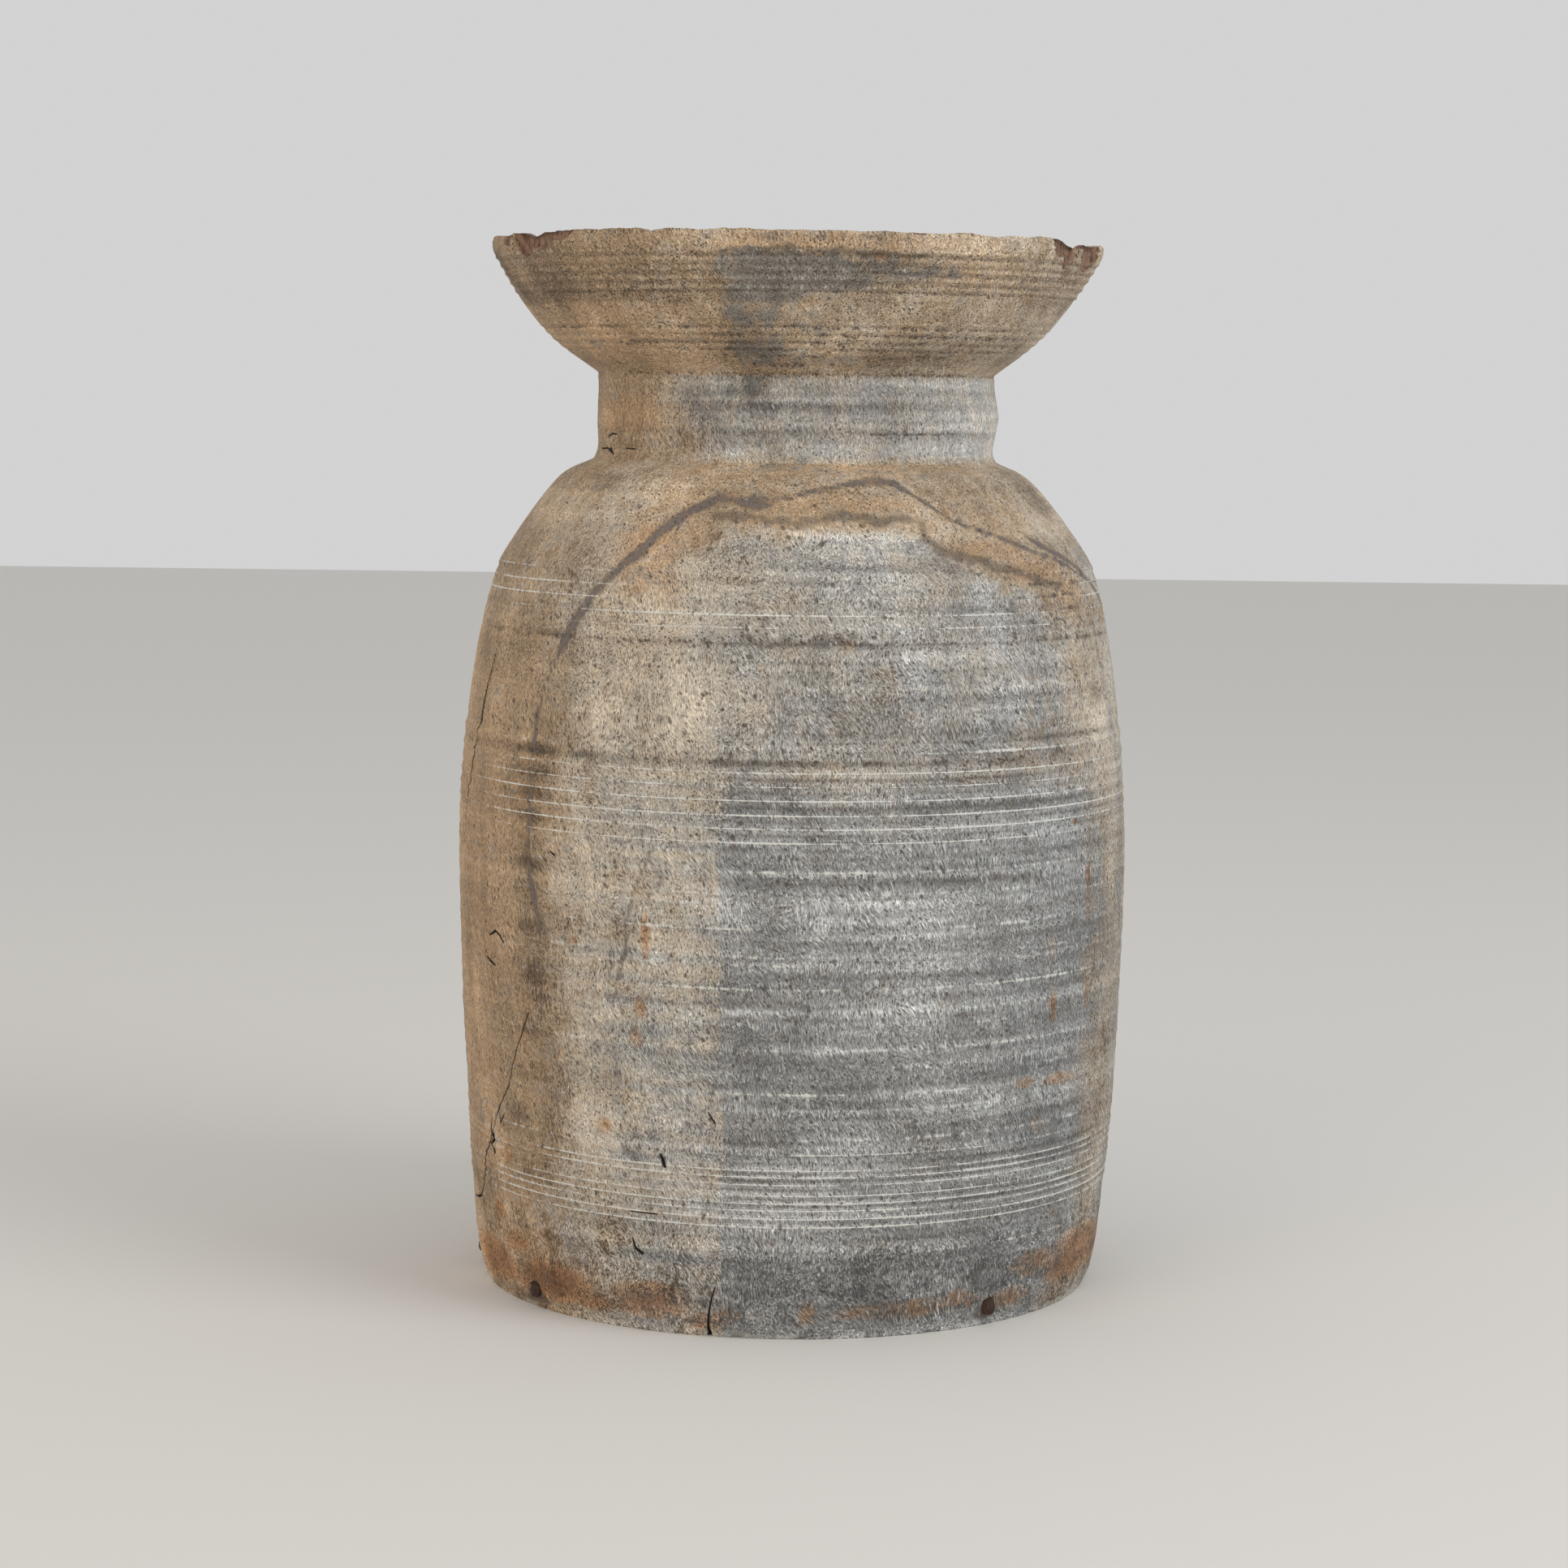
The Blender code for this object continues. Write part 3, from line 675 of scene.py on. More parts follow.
RUST_PATCHES = [
    (-46, 13, 28, 10, 1.0), (-24, 13, 22, 9, 0.8), (-68, 14, 24, 11, 0.95), (-56, 25, 12, 6, 0.6),
    (22, 11, 40, 5, 0.6), (-14, 6, 12, 5, 0.7), (64, 24, 24, 9, 0.7), (44, 10, 16, 6, 0.6),
    (-57, 60, 5, 7, 0.5), (-62, 36, 6, 5, 0.7), (-24, 155, 3, 11, 0.95), (-25, 127, 4, 6, 0.6),
    (-26, 116, 4, 6, 0.4), (49, 124, 3, 10, 0.8), (59.5, 126, 3, 9, 0.8), (59, 175, 3, 28, 0.5),
    (48, 150, 3, 30, 0.3), (-52, 10, 10, 7, 0.7), (-36, 9, 14, 5, 0.7), (-28, 9, 10, 4, 0.5),
    (-60, 12, 12, 6, 0.6), (-10, 9, 7, 4, 0.6), (4, 11, 5, 6, 0.6), (16, 9, 12, 3, 0.4),
    (24, 11, 8, 4, 0.6), (32, 12, 12, 5, 0.6), (50, 22, 20, 7, 0.65), (47, 25, 4, 5, 0.6),
    (62, 17, 26, 9, 0.9), (70, 26, 18, 6, 0.7), (76, 18, 30, 10, 1.0), (71, 12, 6, 5, 0.7),
    (-62, 18, 7, 5, 0.5), (-25, 52, 5, 3, 0.2), (42, 96, 8, 3, 0.5), (52, 95, 16, 4, 0.5),
    (15, 410, 4, 2.5, 0.9), (17, 413, 3, 2, 0.6), (46, 79, 6, 5, 0.35), (9, 265, 4, 3, 0.6),
    (-38, 150, 3, 2, 0.7), (55, 195, 4, 2, 0.5), (-32, 80, 3, 4, 0.5), (130, 14, 50, 9, 0.5),
    (-150, 14, 60, 10, 0.5), (180, 12, 40, 6, 0.4),
]
STAIN_PATCHES = [
    (0, 404, 40, 9, 1.5), (-9, 409, 16, 5, 1.0), (14, 407, 24, 7, 0.8), (-6, 397, 26, 8, 1.0),
    (24, 404, 28, 4, 0.7), (-9, 388, 16, 9, 0.9), (2, 384, 24, 7, 0.35), (-8, 375, 18, 9, 0.75),
    (10, 372, 40, 3, 0.35), (17, 412, 4, 3, 0.7), (-12, 364, 22, 4, 0.7), (-15, 360, 12, 7, 0.8),
    (-9, 353, 10, 6, 0.6), (-7, 342, 8, 12, 0.35), (-30, 361, 22, 5, 0.35), (-2, 331, 16, 2.5, 0.4),
    (-82, 412, 9, 8, 0.9), (0, 334, 14, 3, 0.4), (-80, 334, 10, 10, 0.3), (-5, 416, 6, 3, 0.6),
    (170, 400, 30, 14, 0.6), (120, 365, 20, 10, 0.4),
]


# The grey panel and the cloud above it, as (mm, degrees) and for the top as (degrees, mm)
PANEL_RIGHT = [(0, 50), (40, 58), (80, 58), (150, 64), (215, 62), (300, 50)]
CLOUD_LEFT = [(200, -26), (240, -20), (300, -14)]
CLOUD_TOP = [
    (-30, 300), (-17, 312), (0, 311), (18, 311), (27, 307), (31, 299), (41, 293), (52, 288), (62, 280),
]


def grey_field(angle, height):
    """1 where the wood has gone grey: a panel with a crisp left edge, and a soft cloud above it."""
    degrees = np.degrees(angle)
    level = height / MM
    bleed = np.clip(ring_noise(angle, height, 14, 0.0024, 55), 0.0, 1.0)
    wobble = 0.5 * ring_noise(angle, height, 60, 0.012, 51) - 2.4 * bleed**2
    left = ease(degrees, -12.4 + wobble, -10.6 + wobble)
    right_edge = read_table(level, PANEL_RIGHT)
    drift = 5.0 * ring_noise(angle, height, 24, 0.02, 52) + 2.5 * ring_noise(angle, height, 90, 0.008, 54)
    right = 1.0 - 0.75 * ease(degrees + drift, right_edge - 10, right_edge + 8)
    panel = left * right * (1.0 - ease(level, 200, 236))
    cloud_left = ease(degrees + 2.2 * drift, read_table(level, CLOUD_LEFT) - 10, 2.0)
    cloud_top = read_table(degrees, CLOUD_TOP)
    cloud = 0.62 * cloud_left * right * ease(level, 196, 226) * (1.0 - ease(level, cloud_top - 8, cloud_top))
    streaks = 0.46 + 0.34 * ring_noise(angle, height, 10, 0.0030, 56)
    fringe = 1.15 * streaks * ease(degrees, -46, -20) * (1.0 - ease(degrees, -13, -9))
    fringe = fringe * (1.0 - ease(level, 190, 250))
    lower = 0.50 * (1.0 - ease(level + 1.2 * drift, 30, 52)) * ease(level, 10, 26)
    lower = lower * ease(degrees, -60, -24) * right
    neck = 0.64 * ease(level, 331, 336) * (1.0 - ease(level, 364, 366.5)) * ease(degrees + drift, -44, -16)
    side = 0.42 * ease(degrees, 62, 76) * (level < 300)
    back = 0.55 * np.exp(-(((np.abs(degrees) - 155.0) / 30.0) ** 2)) * (level < 300)
    return np.clip(np.max([panel, cloud, fringe, lower, neck, side, back], axis=0), 0.0, 1.0)


# How much dust the lathe marks hold round the body, as (degrees, share)
DUST_ROUND = [
    (-180, 0.4), (-66, 0.20), (-56, 0.55), (-42, 0.75), (-31, 0.60), (-24, 0.95), (-10, 1.0),
    (52, 1.0), (60, 0.7), (74, 0.45), (120, 0.5), (180, 0.4),
]
CRISP_BANDS = [(42.0, 76.0), (188.0, 222.0), (268.0, 294.0)]   # heights in mm where the marks are sharp


def dust_field(angle, height):
    """Pale dust on the ridges of the lathe marks, clearest on the front's bands of rings."""
    field = np.zeros_like(height)
    degrees = np.degrees(angle)
    for place, size, width in RIDGES:
        crisp = any(low < place < high for low, high in CRISP_BANDS)
        spread = width if crisp else 1.9 * width
        row = np.abs(height - place * MM) < 2.4 * spread * MM
        shape = np.exp(-(((height[row] - place * MM) / (0.66 * spread * MM)) ** 2))
        bright = np.clip(size / 0.20, 0.0, 1.4) * (1.0 if crisp else 0.55)
        field[row] += bright * shape * ring_strength(angle[row], place, 61)
    side = read_table(degrees, DUST_ROUND)
    shoulder = (height > 0.278) & (height < 0.296)
    side = np.where(shoulder, 1.0 - 0.66 * ease(degrees, -46, -28) + 0.6 * ease(degrees, 64, 72), side)
    side = np.where(height > 0.331, 0.22, side)
    worn = (
        0.90 + 0.45 * ring_noise(angle, height, 64, 0.004, 63)
        + 0.30 * ring_noise(angle, height, 190, 0.003, 64)
    )
    return field * side * np.clip(worn, 0.25, 1.2)


def dirt_field(angle, height):
    """Dirt in the hollows of the lathe marks, thin on the tan side of the pot."""
    field = np.zeros_like(height)
    for place, size, width in HOLLOWS:
        row = np.abs(height - place * MM) < 2.5 * width * MM
        shape = np.exp(-(((height[row] - place * MM) / (width * MM)) ** 2))
        field[row] += np.clip(size / 0.36, 0.0, 1.2) * shape * ring_strength(angle[row], place, 62)
    degrees = np.degrees(angle)
    body = 0.30 + 0.70 * ease(degrees, -16, -10) * (1.0 - 0.5 * ease(degrees, 58, 68))
    return field * np.where(height < 0.33, body, 0.9)


# How far the tan wood has bleached, as (degrees, share) round each stretch of the pot
BLEACH = {
    "body": [
        (-180, 0.4), (-95, 0.3), (-76, 0.10), (-56, 0.12), (-50, 0.02), (-45, 0.25), (-38, 0.70),
        (-30, 0.80), (-20, 1.0), (30, 0.9), (50, 0.6), (62, 0.75), (80, 0.9), (120, 0.5), (180, 0.4),
    ],
    "shoulder": [
        (-180, 0.4), (-60, 0.30), (-40, 0.62), (-28, 0.30), (-5, 0.22), (10, 0.25), (30, 0.42),
        (45, 0.40), (70, 0.60), (180, 0.4),
    ],
    "neck": [(-180, 0.4), (-52, 0.05), (-40, 0.45), (-15, 0.75), (80, 0.75), (120, 0.4), (180, 0.4)],
    "flare": [
        (-180, 0.2), (-45, 0.0), (-25, 0.30), (-5, 0.20), (10, 0.42), (60, 0.50), (120, 0.3), (180, 0.2),
    ],
}
SHOULDER_START = [(-40, 262), (-14, 300), (24, 300), (38, 282), (60, 266), (90, 262)]   # (degrees, mm)


def bleach_field(angle, height):
    """How far the tan wood has bleached, from one stretch of the pot to the next."""
    degrees, level = np.degrees(angle), height / MM
    body, shoulder, neck, flare = (read_table(degrees, table) for table in BLEACH.values())
    change = read_table(degrees, SHOULDER_START)
    field = body + (shoulder - body) * ease(level, change, change + 12)
    field = np.where(level > 332, neck, field)
    return np.where(level > 366, flare, field)


def stain_field(angle, height):
    """Grey stains. The one on the flare stops at a straight edge on its left."""
    degrees = np.degrees(angle) + 0.8 * ring_noise(angle, height, 60, 0.006, 57)
    beyond = (1.0 - ease(degrees, -17.0, -15.0)) * ease(degrees, -50, -40)
    return patches(angle, height, STAIN_PATCHES) - 1.2 * beyond * (height > 0.366) * (height < 0.413)


def pitted_lines(angle, height):
    """Dark dashes where the turning tool tore the wood."""
    field = np.zeros_like(height)
    for number, (place, start, end, width, strength) in enumerate(PITTED_LINES):
        row = np.abs(height - place * MM) < 3.0 * width * MM
        degrees, level = np.degrees(angle[row]), height[row]
        sway = 0.5 * width * MM * ring_noise(angle[row], level, 40, 1.0, 300 + number)
        shape = np.exp(-(((level - place * MM + sway) / (width * MM)) ** 2))
        dashes = 0.75 + 0.9 * ring_noise(angle[row], level, 240, 1.0, 320 + number)
        reach = ease(degrees, start - 6, start + 6) * (1.0 - ease(degrees, end - 6, end + 6))
        field[row] = np.maximum(field[row], strength * shape * reach * np.clip(dashes, 0.0, 1.3))
    return field


def zone_shade(angle, height):
    """Broad differences in tone: the damp foot, painted shade and light on the flare, and the brown column.
    """
    degrees, level = np.degrees(angle), height / MM
    foot = (1.0 - ease(level, 30, 46)) * (0.60 * ease(degrees, -16, -8) - 0.25 * ease(-degrees, 54, 66))
    wet = 0.10 * (1.0 - ease(level, 8, 26)) * ease(degrees, 2, 8) - 0.3 * (1.0 - ease(level, 2, 7))
    # Painted shade on the flare's left side and on its underside from 366 to 392 mm, and painted light on
    # its right side.
    flare = (0.30 * (1.0 - ease(degrees, -60, -5)) - 0.16 * ease(degrees, 14, 30)) * (level > 392)
    flare = flare - 0.30 * (level > 366) * (level < 392)
    right = 0.40 * ease(degrees, 60, 66) * (1.0 - ease(degrees, 74, 80)) * (1.0 - ease(level, 150, 260))
    neck = (0.38 * ease(degrees, 4, 40) - 0.06) * ease(level, 332, 336) * (level < 366)
    column = 0.14 * np.exp(-(((degrees + 48.5) / 4.5) ** 2)) * ease(level, 60, 120)
    column = column * (1.0 - ease(level, 222, 250))
    root = 0.25 * ease(level, 296, 312) * (level < 332)
    return root + neck - foot - wet - flare - column - right


def paint_wall(mesh):
    """Stores every colour field that the wood's material reads."""
    angle, height, radius = cylinder_places(vertex_points(mesh))
    outside = read_field(mesh, "outside")
    smooth = outer_radius(height)
    vein = np.max([near_path(angle, height, path) for path in VEIN], axis=0)
    splits = np.max([near_path(angle, height, widened(path, 1.3)) for path in SPLITS], axis=0)
    soft_paths = (widened(INNER_EDGE, 1.5), widened(UNDER_LIP, 1.3), CREASE, *NAIL_STAINS)
    soft_lines = np.max([near_path(angle, height, path) for path in soft_paths], axis=0)
    foot_chip = ease(smooth - radius, 0.7 * MM, 1.5 * MM) * (height < 0.006) * outside
    worn_foot = 0.5 * (1.0 - ease(height, 0.0008, 0.0030))
    worn_foot = worn_foot * ease(ring_noise(angle, height, 60, 1.0, 74), -0.1, 0.3) * outside
    # The tone field: pale and dark patches of the wood, painted light on the far left side, painted shade
    # and light on the flare, and broad differences in tone.
    shade = patches(angle, height, PALE_AND_LIT_PATCHES) - patches(angle, height, DARK_AND_SHADED_PATCHES)
    shade = shade + zone_shade(angle, height) + 0.25 * ring_noise(angle, height, 26, 0.022, 71)
    fields = {
        "grey": grey_field(angle, height) * outside,
        "shade": shade,
        "bleach": bleach_field(angle, height),
        "warmth": patches(angle, height, WARM_AND_LIT_PATCHES),
        "rust": patches(angle, height, RUST_PATCHES),
        "stain": stain_field(angle, height),
        "pitted": pitted_lines(angle, height) * outside,
        "vein": np.where(outside > 0.5, vein, -1.0),
        "soft_lines": np.where(outside > 0.5, soft_lines, -1.0),
        "split": np.clip(splits, 0.0, 1.0) * outside,
        "dust": dust_field(angle, height) * outside,
        "dirt": dirt_field(angle, height) * outside,
        "fresh": ease(scar_depth(angle, height, smooth), 0.5 * MM, 1.3 * MM) * outside,
        "pale_edge": np.maximum(foot_chip, worn_foot),
    }
    for name, values in fields.items():
        add_field(mesh, name, values)


def unroll_wall(mesh):
    """A sheet layout for baking: the outside unrolled above, the inside unrolled below it."""
    corners = np.empty(len(mesh.loops), np.int32)
    mesh.loops.foreach_get("vertex_index", corners)
    starts = np.empty(len(mesh.polygons), np.int32)
    totals = np.empty(len(mesh.polygons), np.int32)
    mesh.polygons.foreach_get("loop_start", starts)
    mesh.polygons.foreach_get("loop_total", totals)
    angle, height, radius = cylinder_places(vertex_points(mesh))
    outside = read_field(mesh, "outside")
    u = (angle / TURN + 0.5)[corners]
    face = np.repeat(np.arange(len(starts)), totals)
    first = u[starts][face]
    u = u + np.round(first - u)
    low = np.minimum.reduceat(u, starts)[face]
    u = np.clip(np.where(low < 0.0, u + 1.0, u), 0.0, SHEET_TURNS) / SHEET_TURNS
    face_outside = (np.minimum.reduceat(outside[corners], starts) > 0.5)[face]
    up = outer_arc(height)[corners] / ARC[-1]
    under = np.interp(radius, [0.07, 0.1225], [0.0, 1.0])[corners]
    v = np.where(face_outside, 1.0 - OUTSIDE_SHARE + OUTSIDE_SHARE * up, INSIDE_SHARE * up)
    flat = (height < 0.0004)[corners]
    v = np.where(face_outside & flat, 1.0 - OUTSIDE_SHARE + 0.002 * under, v)
    layer = mesh.uv_layers.new(name="OFBake")
    layer.data.foreach_set("uv", np.column_stack([u, v]).astype(np.float32).ravel())


# ------------------------------------------------------------------------------------ materials
class Graph:
    """A material's nodes. Each call adds a node and returns its result."""

    def __init__(self, name):
        self.material = bpy.data.materials.new(name)
        self.material.use_nodes = True
        self.tree = self.material.node_tree
        self.shader = self.tree.nodes["Principled BSDF"]
        self.place = self.add("ShaderNodeTexCoord").outputs["Object"]

    def add(self, kind, **settings):
        node = self.tree.nodes.new(kind)
        for key, value in settings.items():
            setattr(node, key, value)
        return node

    def feed(self, socket, value):
        if isinstance(value, bpy.types.NodeSocket):
            self.tree.links.new(value, socket)
        elif isinstance(value, tuple) and len(socket.default_value) == 4:
            socket.default_value = (*value[:3], 1.0)
        else:
            socket.default_value = value

    def field(self, name):
        return self.add("ShaderNodeAttribute", attribute_name=name).outputs["Fac"]

    def math(self, operation, a, b=0.0):
        node = self.add("ShaderNodeMath", operation=operation)
        self.feed(node.inputs[0], a)
        self.feed(node.inputs[1], b)
        return node.outputs[0]

    def times(self, a, b):
        return self.math("MULTIPLY", a, b)

    def minus(self, a, b):
        return self.math("SUBTRACT", a, b)

    def total(self, *terms):
        """The sum of (factor, value) terms and plain numbers."""
        result = None
        for term in terms:
            value = self.times(term[1], term[0]) if isinstance(term, tuple) else term
            result = value if result is None else self.math("ADD", result, value)
        return result

    def swing(self, noise, reach):
        """A noise turned into a swing about zero."""
        return self.times(self.minus(noise, 0.5), reach)

    def vector_math(self, operation, a, b):
        node = self.add("ShaderNodeVectorMath", operation=operation)
        self.feed(node.inputs[0], a)
        self.feed(node.inputs[1], b)
        return node.outputs[0]

    def upward(self, value):
        node = self.add("ShaderNodeCombineXYZ")
        self.feed(node.inputs[2], value)
        return node.outputs[0]

    def color_noise(self, vector, scale):
        """A noise with a direction, centred on zero."""
        noise = self.add("ShaderNodeTexNoise")
        self.feed(noise.inputs["Vector"], vector)
        self.feed(noise.inputs["Scale"], scale)
        return self.vector_math("SUBTRACT", noise.outputs["Color"], (0.5, 0.5, 0.5))

    def ramp(self, value, low, high, start=0.0, end=1.0):
        node = self.add("ShaderNodeMapRange", interpolation_type="SMOOTHSTEP")
        for index, part in enumerate((value, low, high, start, end)):
            self.feed(node.inputs[index], part)
        return node.outputs[0]

    def mix(self, share, a, b, blend="MIX"):
        node = self.add("ShaderNodeMix", data_type="RGBA", blend_type=blend, clamp_factor=True)
        self.feed(node.inputs[0], share)
        self.feed(node.inputs[6], a)
        self.feed(node.inputs[7], b)
        return node.outputs[2]

    def cover(self, under, share, strength, color):
        """A layer of colour over what is under it."""
        return self.mix(self.times(share, strength), under, color)

    def scale_color(self, color, factor):
        node = self.add("ShaderNodeVectorMath", operation="SCALE")
        self.feed(node.inputs[0], color)
        self.feed(node.inputs[3], factor)
        return node.outputs[0]

    def lit(self, color, light):
        """A colour made lighter or darker by a power of e."""
        return self.scale_color(color, self.math("EXPONENT", light))

    def stretched(self, x, y, z, base=None):
        return self.vector_math("MULTIPLY", base or self.place, (x, y, z))

    def noise(self, vector, scale, detail=3.0, roughness=0.55):
        node = self.add("ShaderNodeTexNoise")
        self.feed(node.inputs["Vector"], vector)
        for name, value in (("Scale", scale), ("Detail", detail), ("Roughness", roughness)):
            self.feed(node.inputs[name], value)
        return node.outputs[0]

    def dots(self, vector, scale, edge, core, share):
        """Round marks at scattered points, on a share of them, soft from edge to core."""
        node = self.add("ShaderNodeTexVoronoi")
        self.feed(node.inputs["Vector"], vector)
        self.feed(node.inputs["Scale"], scale)
        pick = self.add("ShaderNodeSeparateColor")
        self.tree.links.new(node.outputs["Color"], pick.inputs[0])
        chosen = self.math("LESS_THAN", pick.outputs[0], share)
        return self.times(self.ramp(node.outputs["Distance"], edge, core), chosen)

    def bump(self, height, distance, strength):
        node = self.add("ShaderNodeBump")
        self.feed(node.inputs["Height"], height)
        node.inputs["Distance"].default_value = distance
        node.inputs["Strength"].default_value = strength
        return node.outputs["Normal"]

    def finish(self, color, roughness, normal):
        self.feed(self.shader.inputs["Base Color"], color)
        self.feed(self.shader.inputs["Roughness"], roughness)
        self.feed(self.shader.inputs["Normal"], normal)
        return self.material


# Wood colours, linear
TAN = (0.365, 0.260, 0.162)
DEEP_TAN = (0.215, 0.140, 0.082)
PALE_TAN = (0.490, 0.430, 0.348)
OCHRE = (0.420, 0.255, 0.128)
GREY = (0.290, 0.293, 0.291)
VEIN_COLOR = (0.118, 0.098, 0.091)
VEIN_CORE = (0.185, 0.158, 0.150)
STAIN_COLOR = (0.150, 0.150, 0.143)
RUST_COLOR = (0.275, 0.120, 0.052)
RUST_TINT = (0.98, 0.76, 0.57)
EDGE_COLOR = (0.100, 0.075, 0.054)
DIRT_COLOR = (0.075, 0.056, 0.040)
DUST_COLOR = (0.740, 0.735, 0.690)
FRESH_COLOR = (0.185, 0.110, 0.073)
# Near black in the splits: dark wood with painted shade of their depth
SPLIT_SHADE_COLOR = (0.014, 0.010, 0.008)
INSIDE_COLOR = (0.140, 0.098, 0.064)
INSIDE_LIP_COLOR = (0.270, 0.200, 0.138)
# Other colours: dark, pale, and that of the dirt or rust on top
BOARD_COLORS = [(0.070, 0.045, 0.028), (0.300, 0.215, 0.140), (0.045, 0.036, 0.028)]
PUTTY_COLORS = [(0.330, 0.290, 0.235), (0.660, 0.620, 0.545), (0.130, 0.100, 0.070)]
IRON_COLORS = [(0.016, 0.010, 0.008), (0.105, 0.046, 0.026), (0.210, 0.080, 0.032)]
FIBRE_LEAN = 2.0               # radians that the fibres wind round the pot in a metre of height


class WoodGraph(Graph):
    """The weathered wood's nodes, with the patterns and zones that its layers share."""

    def __init__(self, name):
        super().__init__(name)
        split = self.add("ShaderNodeSeparateXYZ")
        self.feed(split.inputs[0], self.place)
        self.height = split.outputs["Z"]
        # Places along the fibres, which lean a little as they climb
        wound = self.add("ShaderNodeVectorRotate", rotation_type="Z_AXIS")
        self.feed(wound.inputs["Vector"], self.place)
        self.feed(wound.inputs["Angle"], self.times(self.height, FIBRE_LEAN))
        drift = self.scale_color(self.color_noise(self.place, 26.0), 0.022)
        self.along = self.vector_math("ADD", wound.outputs[0], drift)
        self.hair = self.noise(self.lengthwise(0.20), 2700.0, 2.0, 0.65)
        self.fibre = self.noise(self.lengthwise(0.22), 1500.0, 3.0, 0.65)
        self.streak = self.noise(self.lengthwise(0.10), 420.0, 4.0, 0.62)
        self.plank = self.noise(self.lengthwise(0.09), 80.0, 4.0, 0.62)
        self.crumb = self.noise(self.lengthwise(0.6), 1200.0, 4.0, 0.78)
        self.blotch = self.noise(self.place, 36.0, 5.0, 0.62)
        self.mottle = self.noise(self.place, 150.0, 5.0, 0.65)
        self.speck = self.noise(self.place, 1500.0, 3.0, 0.75)
        # Turning rings, with edges as ragged as the fibres that they cut
        torn = self.vector_math("ADD", self.place, self.upward(self.swing(self.fibre, 0.0075)))
        self.rings = self.noise(self.stretched(6.0, 6.0, 420.0, torn), 1.0, 3.0, 0.72)
        self.broad_rings = self.noise(self.stretched(4.0, 4.0, 95.0, torn), 1.0, 3.0, 0.62)
        # Zones of the pot by height in metres
        self.foot = self.ramp(self.height, 0.030, 0.048, 1.0, 0.0)
        self.body = self.ramp(self.height, 0.300, 0.330, 1.0, 0.0)
        self.neck = self.minus(self.ramp(self.height, 0.331, 0.334), self.ramp(self.height, 0.364, 0.367))

    def lengthwise(self, share):
        """Places for a pattern that is drawn out along the fibres."""
        return self.stretched(1.0, 1.0, share, self.along)

    def swings(self, **reaches):
        """The named patterns, each swinging about zero by its reach."""
        return [self.swing(getattr(self, name), reach) for name, reach in reaches.items()]

    def ragged(self, field, low, high, **reaches):
        """A stored field whose edge the named patterns break up."""
        return self.ramp(self.total(self.field(field), *self.swings(**reaches)), low, high)


def wood_light(g, grey):
    """How light the wood is, as a power of e."""
    bare = g.ramp(grey, 0.2, 1.0, 0.28, 1.0)
    light = g.total(
        *g.swings(hair=2.2, streak=0.8, plank=0.7, mottle=0.75, blotch=0.6, crumb=2.6),
        (0.50, g.field("shade")),
    )
    turned_share = g.times(g.ramp(g.body, 0.0, 1.0, 1.15, 1.0), bare)
    turned_marks = g.times(g.total(*g.swings(rings=2.0, broad_rings=1.9)), turned_share)
    fibre_share = g.times(g.ramp(g.body, 0.0, 1.0, 0.12, 1.0), bare)
    fibres = g.times(g.total(*g.swings(fibre=2.9, hair=1.2)), fibre_share)
    above_body = g.minus(g.minus(1.0, g.body), g.times(g.neck, 0.5))
    specks = g.times(g.swing(g.speck, 2.8), above_body)
    scuffs = g.times(g.total(*g.swings(crumb=2.2, mottle=2.0, speck=1.6)), g.foot)
    return g.total(light, turned_marks, fibres, specks, scuffs)


def bare_wood(g, grey, light):
    """Tan wood that browns where it is dark and turns ochre where it is warm, and grey wood."""
    bleach = g.ragged("bleach", 0.0, 1.0, mottle=1.4, blotch=1.0)
    tan = g.mix(g.ramp(light, -0.10, -0.70), g.mix(bleach, TAN, PALE_TAN), DEEP_TAN)
    warm = g.ragged("warmth", 0.05, 0.85, blotch=1.6, streak=0.9)
    tan = g.cover(tan, warm, 0.60, OCHRE)
    return g.lit(g.mix(grey, tan, GREY), light)


def stained(g, wood, light):
    """Grey stains, then rust that has run into the wood, with dark crumbs in it."""
    stain = g.ragged("stain", 0.10, 0.95, mottle=2.8, crumb=1.6)
    stain_light = g.total((1.1, light), *g.swings(rings=1.6, blotch=1.4))
    wood = g.cover(wood, stain, 0.82, g.lit(STAIN_COLOR, stain_light))
    rust = g.field("rust")
    rusted = g.ramp(rust, 0.02, 0.30)
    tint = g.ragged("rust", -0.10, 0.75, mottle=1.8, blotch=1.2)
    wood = g.mix(g.times(tint, rusted), wood, RUST_TINT, "MULTIPLY")
    spots = g.ramp(g.total(rust, *g.swings(mottle=3.2, crumb=4.0), -0.40), 0.0, 0.90)
    rust_light = g.total((0.9, light), *g.swings(crumb=1.6, mottle=2.0))
    wood = g.cover(wood, g.times(spots, rusted), 0.70, g.lit(RUST_COLOR, rust_light))
    char = g.ramp(g.total(rust, *g.swings(mottle=4.0, crumb=4.4), -0.95), 0.0, 0.6)
    return g.cover(wood, g.times(char, rusted), 0.70, DIRT_COLOR)


